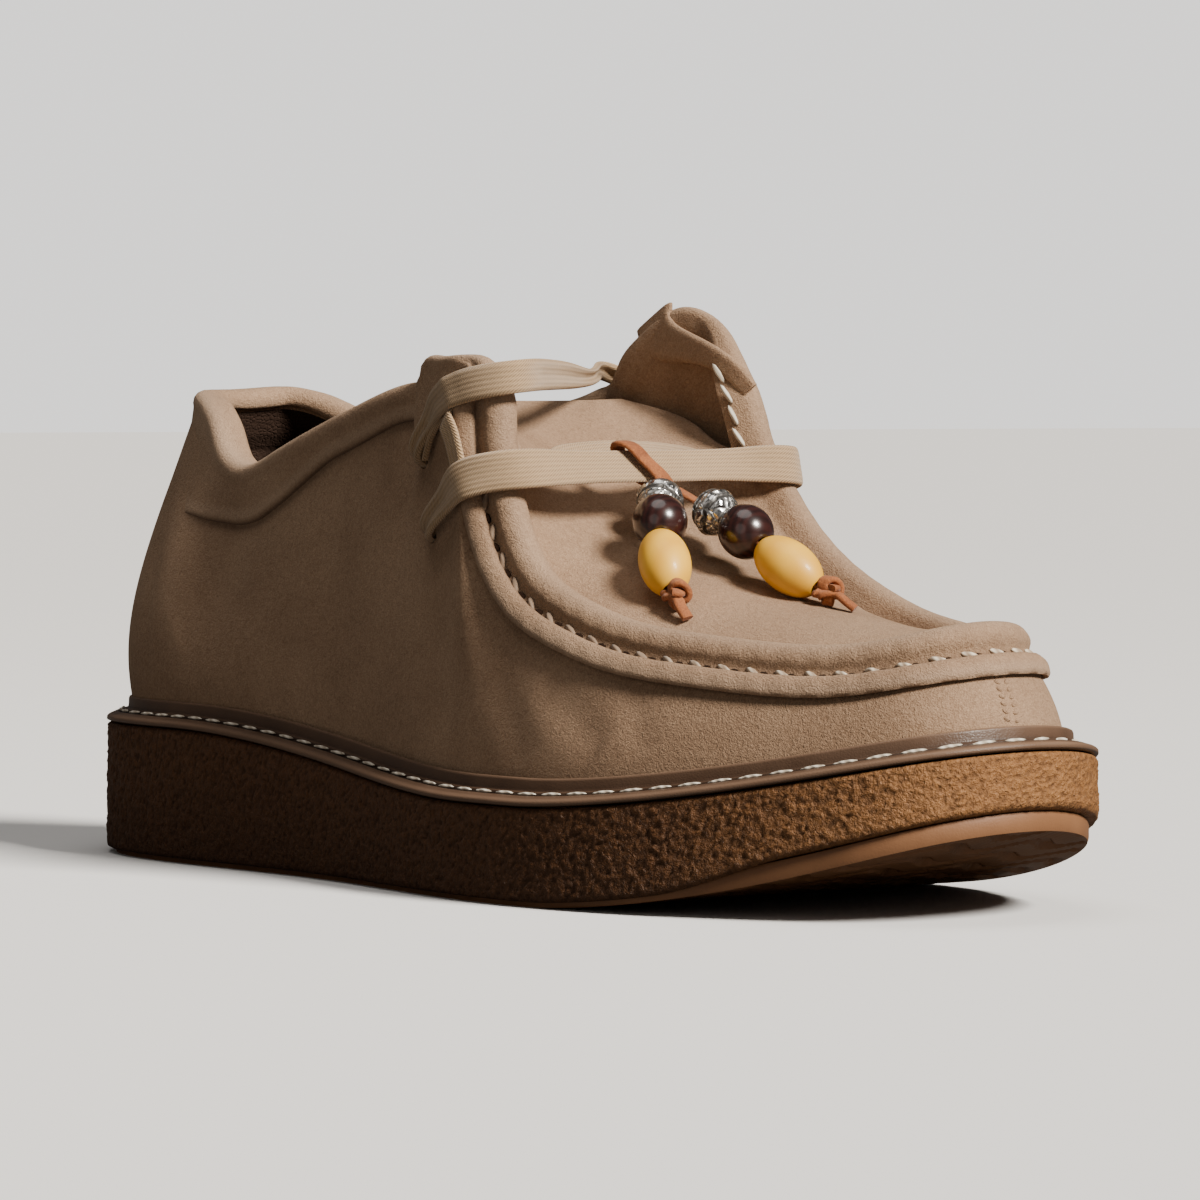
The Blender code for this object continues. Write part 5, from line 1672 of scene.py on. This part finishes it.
def makeUpper():
    size = upperSizes
    columns, first = ribColumns()
    frames = upperFrames(columns)
    outer, inner = upperSkins(columns, frames)
    count = len(columns)
    seam = size["seamColumns"]
    toe = first + seam
    last = toe + seam
    left = [first + j for j in range(seam)]
    right = [last - j for j in range(seam)]
    outerRows = rowNumbers(0, outer.shape)
    innerRows = rowNumbers(outer.shape[0] * count, inner.shape)
    faces = []
    kinds = []

    def add(more, kind):
        # Kind 0 is suede and 1 is lining
        faces.extend(more)
        kinds.extend([kind] * len(more))

    add(bridge(list(innerRows[-1]), list(outerRows[0])), 1)
    x = frames[0][:, 0]
    ears = (columns[:, 2] > size["earsFrom"][1]) & (x > size["earsFrom"][0])
    collar = (columns[:, 4] < size["plainRoll"]) & (x < size["bandFront"]) & ~ears
    inside = outer.shape[0] - size["bandInside"]
    for k, (low, high) in enumerate(zip(outerRows, outerRows[1:])):
        faces += bridge(list(low), list(high))
        kinds += [1 if k >= inside and collar[j] else 0 for j in range(count)]
    for k, (low, high) in enumerate(zip(innerRows, innerRows[1:])):
        faces += bridge(list(low), list(high))
        kinds += [0 if (k < 2 and not collar[j]) or (ears[j] and inner[k, j, 2] > size["earInside"]) else 1
                  for j in range(count)]
    start = (outer.shape[0] + inner.shape[0]) * count
    vertices = [outer.reshape(-1, 3), inner.reshape(-1, 3)]
    rub = [upperRub(columns, outer), np.zeros(inner.shape[0] * count)]
    hollowShadeAndTarnish = [upperPaintedShade(columns, outer), np.zeros(inner.shape[0] * count)]
    throats = []
    skins = ((outer, outerRows, -1, 0.0, 0), (inner, innerRows, 0, size["wall"], 1))
    for skin, rows, edge, drop, kind in skins:
        rungs = apronGrid(skin[edge][left], skin[edge][right], drop)
        if drop:
            rungs[0, 1:-1] = throatEdge[1:-1] - size["throatFace"]
        else:
            throatEdge = rungs[0].copy()
        middle = rungs[:, 1:-1]
        numbers = rowNumbers(start, middle.shape)
        full = np.column_stack((rows[edge][left], numbers, rows[edge][right]))
        for back, front in zip(full, full[1:]):
            add(bridge(list(back), list(front), closed=False), kind)
        tip = rows[edge][toe]
        add([(full[-1][k], full[-1][k + 1], tip) for k in range(full.shape[1] - 1)], kind)
        vertices.append(middle.reshape(-1, 3))
        for values in (rub, hollowShadeAndTarnish):
            values.append(np.zeros(numbers.size))
        throats.append(full[0])
        start += numbers.size
    rings = tongueRings(tongueRows(throatEdge))
    numbers = rowNumbers(start, rings.shape)
    points = size["apronPoints"]
    arc = size["tongueArc"]
    for back, front in zip(numbers, numbers[1:]):
        add(bridge(list(back), list(front)), 0)
    loop = numbers[0]
    add(bridge(list(throats[0]), list(loop[:points]), closed=False), 0)
    add(bridge(list(throats[1][::-1]), list(loop[points + arc:2 * points + arc]), closed=False), 0)
    add([tuple([throats[0][-1]] + list(loop[points - 1:points + arc + 1]) + [throats[1][-1]])], 0)
    add([tuple([throats[1][0]] + list(loop[2 * points + arc - 1:]) + [loop[0], throats[0][0]])], 0)
    end = numbers[-1]
    for k in range(points - 1):
        add([(end[k], end[k + 1], end[2 * points + arc - 2 - k], end[2 * points + arc - 1 - k])], 0)
    add([tuple(end[points - 1:points + arc + 1])], 0)
    add([tuple(list(end[2 * points + arc - 1:]) + [end[0]])], 0)
    vertices.append(rings.reshape(-1, 3))
    side = np.concatenate((np.zeros(points), np.full(arc, size["tongueRub"])))
    rub.append(np.tile(side, 2 * len(rings)))
    hollowShadeAndTarnish.append(np.zeros(numbers.size))
    for i in range(last, first + count):
        low, high = i % count, (i + 1) % count
        add([(outerRows[-1][low], outerRows[-1][high], innerRows[0][high], innerRows[0][low])], 0)
    marks = {"rub": np.concatenate(rub), "hollowShadeAndTarnish": np.concatenate(hollowShadeAndTarnish)}
    piece = meshPiece("suedeUpper", np.vstack(vertices), faces, [finish["suede"], finish["lining"]], 60.0,
                      faceMaterial=kinds, marks=marks)
    cutEyelets(piece)
    attach(piece, "suede", "upper", "tongue")
    return columns, frames, outer, inner, first


# Lower seam of the collar band: x and z on the lateral side, then on the medial side
bandLine = {
    "lateral": ((-20.0, 76.5), (0.0, 76.5), (14.0, 76.0), (30.0, 73.6), (44.0, 71.2), (58.0, 70.3),
                (66.0, 71.4), (76.0, 75.6), (84.5, 80.0), (93.5, 84.4), (101.5, 87.6), (110.0, 90.4),
                (120.0, 92.2), (131.0, 93.0)),
    "medial": ((-20.0, 76.5), (0.0, 76.5), (20.0, 75.5), (46.0, 74.5), (58.0, 74.5), (72.0, 76.5),
               (89.0, 81.0), (104.0, 86.0), (114.0, 89.0), (125.0, 91.0)),
}
# Marks on the skin: rows of the edge with their widths and shares, or a width and a share round a place
upperMarks = {
    "seamRub": ((5, 2.0, 0.30), (23, 4.0, 0.22)),
    "plainRub": ((20, 5.0, 0.35),),
    # Painted shade in the stitch groove and under the lip, along the foot, round the eyelets and the ear's
    # dimple, and under the collar band's seam
    "seamShade": ((12, 1.4, 0.55), (0, 1.6, 0.55), (34, 2.5, 0.30)),
    "footShade": ((0, 2.0, 0.45),),
    "eyelet": (2.6, 0.6),
    "dimple": (1.2, 0.5),
    "bandFade": (28.0, 24.0),
    "bandShade": (0.4, 0.9, 0.45),
}


def bandSeam(places):
    # Height of the band's seam at each place
    tables = [np.array(bandLine[side]) for side in ("lateral", "medial")]
    heights = [np.interp(places[:, 0], table[:, 0], table[:, 1]) for table in tables]
    return np.where(places[:, 1] < shoe["heelTipY"], heights[0], heights[1])


def upperRub(columns, outer):
    # Paler nap along the raised edges
    rows = upperSizes["wallRows"]
    roll = np.clip(columns[:, 4], 0.0, 1.0)
    values = np.zeros(outer.shape[:2])
    for i in range(outer.shape[0] - rows):
        values[rows + i] = (roll * rowMark(i, upperMarks["seamRub"])
                            + (1.0 - roll) * rowMark(i, upperMarks["plainRub"]))
    return values.ravel()


def upperPaintedShade(columns, outer):
    # Painted shade in the stitch groove, under the lip, in the eyelets, under the collar band and along the
    # foot
    size = upperMarks
    rows = upperSizes["wallRows"]
    roll = np.clip(columns[:, 4], 0.0, 1.0)
    values = np.zeros(outer.shape[:2])
    for i in range(outer.shape[0]):
        values[i] = roll * rowMark(i - rows, size["seamShade"])
        values[i] += rowMark(i, size["footShade"])
    spots = [(place, size["eyelet"]) for place in eyelets] + [(earTab["dimple"], size["dimple"])]
    for place, (width, share) in spots:
        values += share * bump(np.linalg.norm(outer - np.array(place), axis=2), width)
    x = outer[rows, :, 0]
    collar = (1.0 - roll) * (x < upperSizes["bandFront"])
    collar = collar * ease((x - size["bandFade"][0]) / size["bandFade"][1])
    rise, width, share = size["bandShade"]
    values += collar * share * bump(outer[:, :, 2] - bandSeam(outer[rows]) + rise, width)
    return values.ravel()


def cutEyelets(piece):
    size = eyeletSizes
    radius = size["radius"] * mm
    mesh = bpy.data.meshes.new("punch")
    bm = bmesh.new()
    for place in eyelets:
        made = bmesh.ops.create_cone(bm, cap_ends=True, segments=size["sides"], radius1=radius,
                                     radius2=radius, depth=size["depth"] * mm)
        lean = math.radians(90.0 + size["tilt"] * (1.0 if place[1] < 0.0 else -1.0))
        bmesh.ops.rotate(bm, verts=made["verts"], matrix=Matrix.Rotation(lean, 3, "X"))
        bmesh.ops.translate(bm, verts=made["verts"], vec=Vector(inMetres([place])[0]))
    bm.to_mesh(mesh)
    bm.free()
    punch = link(bpy.data.objects.new("punch", mesh))
    cut = piece.modifiers.new("punch", "BOOLEAN")
    cut.object = punch
    cut.solver = "EXACT"
    bake(piece, cut)
    bpy.data.objects.remove(punch)


columns, frames, outerSkin, innerSkin, throatColumn = makeUpper()
print("upper made:", len(columns), "columns")


# Padded collar band, from the top line down to its seam
bandSizes = {
    "proud": 1.15,
    "round": 1.2,
    "tube": 1.0,
    "tubeWidth": 3.4,
    "crest": 1.75,
    "crestWidth": 2.1,
    "shoulder": (7.0, 4.0, 0.4),
    "inner": 5.4,
    "insideRows": 9,
    "rows": 46,
    "ends": (0.0, 0.12, 0.35, 0.75, 1.35, 2.1),
    "margin": 3.0,
    "softPasses": 3,
    "tuck": 0.7,
    "thickness": 0.5,
    "front": (124.6, 117.2),
    "beyond": 1.2,
    "fade": (1.5, 0.6),
    "heelFade": (26.0, 24.0),
    "heelHold": 6.0,
    "sink": 0.8,
    "sinkFrom": (6.0, 7.0),
    "rub": ((0.1, 0.05, 0.25), (0.68, 0.12, 0.40)),
    # Painted shade along the band's lower edge
    "hollowShadeAndTarnish": ((0, 2.2, 0.8),),
}


def soften(values):
    # Each value but the first and last, averaged with its neighbours
    return (values[:-2] + values[1:-1] * 2.0 + values[2:]) / 4.0


def bandLines():
    # Rows of points from the seam over the rolled edge and a little way inside
    size = bandSizes
    count = outerSkin.shape[1]
    rows = upperSizes["wallRows"]
    middle = rows // 2
    skin = np.concatenate((outerSkin, innerSkin[:size["insideRows"]]))
    top = frames[0]
    front = np.where(outerSkin[middle, :, 1] < shoe["heelTipY"], size["front"][0], size["front"][1])
    chosen = [i for i in range(count)
              if columns[i, 4] < upperSizes["plainRoll"] and top[i, 0] < front[i] + size["beyond"]]
    breaks = [k for k in range(1, len(chosen)) if chosen[k] != chosen[k - 1] + 1]
    chosen = chosen[breaks[0]:] + chosen[:breaks[0]] if breaks else chosen
    normals = gridNormals(skin, closed=True)
    away = np.column_stack((frames[1][:, :2], np.zeros(count)))
    if (normals[middle] * away).sum() < 0.0:
        normals = -normals
    seam = bandSeam(outerSkin[rows])
    ends = np.array(size["ends"])
    lines = []
    for i in chosen:
        path = skin[:, i]
        run = runLength(path)
        start = np.interp(seam[i], path[:rows + 4, 2], run[:rows + 4])
        crestRun = run[int(np.argmax(path[:, 2]))]
        stop = crestRun + size["inner"]
        between = np.linspace(start + size["margin"], stop - size["margin"], size["rows"] - 2 * len(ends))
        at = np.concatenate((start + ends, between, stop - ends[::-1]))
        place = np.column_stack([np.interp(at, run, path[:, axis]) for axis in range(3)])
        turn = unit(np.column_stack([np.interp(at, run, normals[:, i, axis]) for axis in range(3)]))
        low = np.clip(1.0 - (at - start) / size["round"], 0.0, 1.0)
        high = np.clip(1.0 - (stop - at) / size["round"], 0.0, 1.0)
        fade = ease((top[i, 0] - size["heelFade"][0]) / size["heelFade"][1])
        across = at - crestRun
        held = fade + (1.0 - fade) * bump(across, size["heelHold"])
        lift = size["proud"] * np.where(across < 0.0, held, 1.0)
        tube = size["tube"] * bump(across, size["tubeWidth"])
        lift += tube - size["crest"] * bump(across, size["crestWidth"])
        far, width, rise = size["shoulder"]
        lift += rise * fade * bump(at - start - far, width)
        far, width = size["sinkFrom"]
        lift -= size["sink"] * (1.0 - fade) * ease((-across - far) / width)
        lift *= np.sqrt(np.clip(1.0 - low ** 2, 0.0, 1.0)) * np.sqrt(np.clip(1.0 - high ** 2, 0.0, 1.0))
        share = ease((front[i] - top[i, 0]) / size["fade"][0] + size["fade"][1])
        lift = lift * share - size["tuck"] * (1.0 - share)
        lift[[0, -1]] = -size["tuck"]
        lines.append(place + turn * lift[:, None])
    lines = np.array(lines)
    for turn in range(size["softPasses"]):
        lines[1:-1] = soften(lines)
    return lines, away[chosen]


def closeSheet(grid, thickness):
    # Closed shell from a grid of points and the same grid pushed inward along its normals
    normal = gridNormals(grid, closed=False)
    back = grid - normal * thickness
    rows, count = grid.shape[:2]
    number = rowNumbers(0, grid.shape)
    behind = number + rows * count
    faces = []
    for i in range(rows - 1):
        faces += bridge(list(number[i]), list(number[i + 1]), closed=False)
        faces += bridge(list(behind[i + 1]), list(behind[i]), closed=False)
    faces += bridge(rimOf(number.T), rimOf(behind.T))
    return np.vstack((grid.reshape(-1, 3), back.reshape(-1, 3))), faces


def makeCollarBand():
    size = bandSizes
    lines, away = bandLines()
    normal = gridNormals(lines, closed=False)
    flip = np.sign((normal[:, 8] * away).sum())
    points, faces = closeSheet(lines, size["thickness"] * flip)
    if flip < 0.0:
        faces = [face[::-1] for face in faces]
    count = lines.shape[1]
    rub = np.tile(rowMark(np.linspace(0.0, 1.0, count), size["rub"]), len(lines))
    hollowShadeAndTarnish = np.tile(rowMark(np.arange(count), size["hollowShadeAndTarnish"]), len(lines))
    marks = {"rub": np.concatenate((rub, rub)), "hollowShadeAndTarnish": np.concatenate((hollowShadeAndTarnish, hollowShadeAndTarnish))}
    piece = meshPiece("collarBand", points, faces, [finish["suede"]], 60.0, marks=marks)
    attach(piece, "suede")


makeCollarBand()
print("collar band made")


# Stitches of the moccasin seam, with the needle holes between them as near-black blobs of painted shade
seamStitch = {"pitch": upperSizes["seamPitch"], "length": 3.9, "width": 1.25, "height": 1.1, "slant": -24.0,
              "arch": 0.7, "jitter": 0.12, "seed": 3, "offset": (0.05, -1.0), "shift": 0.0}
needleHoleShade = {"pitch": upperSizes["seamPitch"], "length": 2.3, "width": 1.25, "height": 0.7, "slant": 8.0,
              "arch": 0.2, "jitter": 0.2, "seed": 8, "offset": (0.05, -1.35),
              "shift": upperSizes["seamPitch"] / 2.0}
seamSpan = {"roll": 0.93, "lateralEnd": 83.0, "lean": 0.9}


def layOnSeam(name, slotName, material, size):
    # Along the rolled seam, on the lateral side only up to its end below the ear
    top, away, up = frames
    out, rise = size["offset"]
    chosen = [i for i in range(len(columns)) if columns[i, 4] > seamSpan["roll"]
              and (top[i, 1] > 0.0 or top[i, 2] < seamSpan["lateralEnd"])]
    line = top[chosen] + away[chosen] * out + up[chosen] * rise
    keep = runLength(line) >= size["shift"]
    facing = unit(away[chosen] + up[chosen] * seamSpan["lean"])
    stitchPiece(name, slotName, line[keep], facing[keep], material, size)


layOnSeam("seamStitches", "lace_cotton", finish["waxed"], seamStitch)
layOnSeam("needleHoleShades", "lining_leather", finish["hole"], needleHoleShade)
print("seam stitches made")


# Flap folded over the medial ear: x, y, z, width, then the x and z of the width's direction
flapTable = ((130.9, 24.6, 113.4, 12.4, 0.90, 0.44), (132.6, 23.9, 110.9, 11.4, 0.85, 0.53),
             (135.6, 23.5, 109.0, 9.4, 0.60, 0.80), (140.6, 23.0, 107.8, 7.2, 0.34, 0.94),
             (147.2, 22.5, 106.6, 5.6, 0.30, 0.95), (152.6, 22.9, 104.9, 4.8, 0.36, 0.93),
             (157.2, 24.2, 102.0, 4.4, 0.40, 0.92), (159.8, 26.0, 98.6, 3.8, 0.40, 0.92))
flapSizes = {"step": 0.6, "thickness": 1.7, "across": 21}


def makeEarFlap():
    rows = smoothPath(flapTable, flapSizes["step"])
    wide = unit(np.column_stack((rows[:, 4], np.zeros(len(rows)), rows[:, 5])))
    piece = bandPiece("earFlap", rows[:, :3], rows[:, 3], wide, flapSizes["thickness"], finish["suede"],
                      across=flapSizes["across"])
    attach(piece, "suede")


# Stitches inside the medial ear, between two heights of its edge
earStitch = {"pitch": 4.0, "length": 4.7, "width": 1.15, "height": 1.1, "slant": 9.0, "arch": 0.7,
             "jitter": 0.15, "seed": 5, "inward": 8.3, "rise": 0.6, "roll": 0.5, "span": (85.0, 103.5),
             "lean": 0.5}


def makeEarStitches():
    top, away, up = frames
    size = earStitch
    low, high = size["span"]
    chosen = [i for i in range(len(columns))
              if top[i, 1] > 0.0 and columns[i, 4] > size["roll"] and low < top[i, 2] < high]
    line = top[chosen] - away[chosen] * size["inward"] + up[chosen] * size["rise"]
    facing = unit(up[chosen] * size["lean"] - away[chosen])
    stitchPiece("earStitches", "lace_cotton", line, facing, finish["thread"], size)


# Two short rows side by side at the toe, slanting against each other
puckerStitch = {"pitch": 1.45, "length": 1.7, "width": 1.0, "height": 0.7, "slant": 66.0, "arch": 0.4,
                "jitter": 0.2, "seed": 11, "span": (37.5, 46.0)}


def makeToePuckers():
    size = puckerStitch
    low, high = size["span"]
    toe = throatColumn + upperSizes["seamColumns"]
    for name, step in (("toePuckerLeft", -1), ("toePuckerRight", 1)):
        path = outerSkin[:upperSizes["wallRows"], toe + step]
        line = path[(path[:, 2] > low) & (path[:, 2] < high)]
        facing = np.tile(frames[1][toe], (len(line), 1))
        stitchPiece(name, "suede", line, facing, finish["suede"], {**size, "slant": -step * size["slant"]})


makeEarFlap()
makeEarStitches()
makeToePuckers()
print("ear flap and small seams made")


# Laces: ribs are their count and height, folds the height of the folds where the lace is gathered
laceSizes = {
    "thickness": 1.25,
    "step": 0.7,
    "across": 31,
    "ribs": (7.0, 0.025),
    "folds": 1.0,
    "clear": 0.85,
    "sideOnly": 30.0,
    "sideWall": 28.0,
    "shares": (-0.45, -0.2, 0.0, 0.2, 0.45),
    "rayFrom": (80.0, 130.0),
    "eyeletFree": (1.5, 2.5),
    "pushPasses": 4,
    "layPasses": 12,
    "underLift": 0.35,
}
laceNodes = {"lowerLace": ("lace_lower",), "upperLace": ("lace_upper",)}
# Middle of each lace from the lateral eyelet to the medial one: x, y, z, width, lean back in degrees
laceTables = {
    "lowerLace": (
        (137.0, -31.5, 70.8, 2.4, 40.0), (137.5, -36.2, 70.0, 2.6, 40.0), (138.7, -38.7, 70.9, 3.6, 40.0),
        (147.0, -40.6, 77.4, 6.0, 40.0), (151.6, -41.4, 80.4, 7.8, 32.0), (157.0, -39.2, 82.3, 8.0, 14.0),
        (161.8, -34.2, 83.2, 8.0, 14.0), (162.8, -22.0, 83.5, 8.0, 34.0), (163.5, 0.0, 83.6, 8.0, 40.0),
        (164.8, 22.0, 83.8, 8.0, 32.0), (167.2, 28.9, 83.8, 8.0, 18.0), (165.9, 33.2, 83.4, 8.0, 14.0),
        (162.2, 35.9, 82.8, 8.0, 14.0), (154.0, 37.5, 81.0, 7.5, 30.0), (147.0, 36.2, 78.0, 6.5, 38.0),
        (140.6, 35.0, 72.8, 3.8, 40.0), (139.0, 32.6, 71.4, 2.6, 40.0), (138.8, 28.5, 71.3, 2.4, 40.0),
    ),
    "upperLace": (
        (128.8, -27.8, 84.9, 2.4, 45.0), (129.5, -32.6, 84.6, 2.6, 45.0), (130.6, -35.6, 86.1, 3.4, 48.0),
        (134.8, -36.2, 91.4, 4.2, 45.0), (141.5, -38.6, 96.0, 5.8, 38.0), (151.0, -38.8, 99.4, 6.8, 20.0),
        (159.2, -33.2, 101.1, 6.6, 12.0), (152.5, -20.0, 101.6, 6.2, 4.0), (143.0, -8.0, 101.5, 5.6, 0.0),
        (127.0, 9.5, 101.2, 4.0, 0.0), (118.4, 19.0, 102.0, 3.4, 10.0), (115.0, 23.6, 102.6, 4.0, -10.0),
        (117.2, 27.4, 100.6, 4.5, -35.0), (120.8, 28.6, 95.5, 4.5, -55.0), (125.0, 30.0, 89.0, 3.8, -60.0),
        (126.8, 29.0, 86.0, 2.6, -60.0), (127.0, 24.0, 85.3, 2.4, -60.0),
    ),
    "laceTurn": (
        (131.9, -34.6, 85.2, 2.6, 50.0), (134.0, -35.4, 88.6, 3.0, 52.0), (137.6, -36.0, 92.6, 3.6, 36.0),
        (142.4, -36.9, 94.4, 4.2, 2.0), (147.0, -38.2, 91.6, 4.6, -46.0), (150.2, -39.6, 86.0, 4.4, -60.0),
        (151.4, -39.9, 80.6, 4.0, -66.0),
    ),
}
# Lace that lies across the tongue: x, y, width
underTable = ((149.2, -16.0, 5.0), (146.4, -12.2, 7.0), (143.0, -3.5, 8.0), (142.6, 4.0, 8.0),
              (144.8, 10.5, 7.8), (149.6, 15.5, 7.0), (156.0, 18.5, 5.0))
upperMesh = bpy.data.objects["suedeUpper"].data
upperSurface = BVHTree.FromPolygons([corner.co for corner in upperMesh.vertices],
                                    [face.vertices for face in upperMesh.polygons])


def layOnUpper(table, lift):
    # Drop a path onto the tongue; the width lies along the surface
    size = laceSizes
    rows = smoothPath([(x, y, 0.0, width) for x, y, width in table], size["step"])
    faced = np.zeros((len(rows), 3))
    for i, row in enumerate(rows):
        start = Vector(inMetres([(row[0], row[1], size["rayFrom"][1])])[0])
        place, faced[i] = upperSurface.ray_cast(start, Vector((0.0, 0.0, -1.0)))[:2]
        rows[i, 2] = place[2] / mm
    for turn in range(size["layPasses"]):
        faced[1:-1] = soften(faced)
        rows[1:-1, 2] = soften(rows[:, 2])
    faced = unit(faced)
    path = rows[:, :3] + faced * lift
    return path, rows[:, 3], np.cross(faced, unit(np.gradient(path, axis=0)))


def keepOffWall(rows, wide):
    # Push a lace out wherever any of its width would sink into the side wall
    size = laceSizes
    free, fade = size["eyeletFree"]
    push = np.zeros(len(rows))
    for i, row in enumerate(rows):
        if abs(row[1]) < size["sideOnly"]:
            continue
        side = 1.0 if row[1] > 0.0 else -1.0
        for share in size["shares"]:
            point = row[:3] + wide[i] * row[3] * share
            start = Vector(inMetres([(point[0], side * size["rayFrom"][0], point[2])])[0])
            place = upperSurface.ray_cast(start, Vector((0.0, -side, 0.0)))[0]
            if place is not None and side * place[1] / mm > size["sideWall"]:
                push[i] = max(push[i], side * (place[1] / mm - point[1]) + size["clear"])
        near = min(np.linalg.norm(row[:3] - np.array(eyelet)) for eyelet in eyelets)
        push[i] *= ease((near - free) / fade)
    for turn in range(size["pushPasses"]):
        push[1:-1] = np.maximum(push[1:-1], soften(push))
    rows[:, 1] += push * np.sign(rows[:, 1])


def makeLace(name, path, widths, wide, folds):
    size = laceSizes
    piece = bandPiece(name, path, widths, wide, size["thickness"], finish["lace"], across=size["across"],
                      ribs=size["ribs"], folds=folds)
    attach(piece, "lace_cotton", *laceNodes.get(name, ()))


def makeLaces():
    size = laceSizes
    for name, table in laceTables.items():
        rows = smoothPath(table, size["step"])
        lean = np.radians(rows[:, 4])
        wide = np.column_stack((-np.sin(lean), np.zeros(len(rows)), np.cos(lean)))
        keepOffWall(rows, wide)
        makeLace(name, rows[:, :3], rows[:, 3], wide, size["folds"])
    lift = size["thickness"] / 2.0 + size["underLift"]
    makeLace("laceUnder", *layOnUpper(underTable, lift), 0.0)


makeLaces()
print("laces made")


# Loop of the thong round the lower lace: along the lace's width, out of it, and along the lace
loopTable = ((5.6, 0.0, -7.8), (3.6, 2.0, -6.9), (0.0, 2.2, -5.4), (-3.6, 2.1, -3.6), (-5.6, 0.0, -1.2),
             (-3.6, -2.3, -0.6), (3.4, -2.3, -6.4))


def makeThongLoop():
    middle = next(row for row in laceTables["lowerLace"] if row[1] == 0.0)
    lean = math.radians(middle[4])
    alongWidth = np.array((-math.sin(lean), 0.0, math.cos(lean)))
    outward = np.array((math.cos(lean), 0.0, math.sin(lean)))
    knots = np.array([middle[:3] + alongWidth * up + outward * out + (0.0, side, 0.0)
                      for up, out, side in loopTable])
    path = smoothPath(knots, thongSizes["step"], closed=True)
    wide = np.tile((0.0, 1.0, 0.0), (len(path), 1))
    piece = bandPiece("thongLoop", path, np.full(len(path), thongSizes["loopWidth"]), wide,
                      thongSizes["loopThickness"], finish["thong"], closed=True, across=11)
    attach(piece, "thong_leather", "thong_loop")


makeThongLoop()
print("thong loop made")
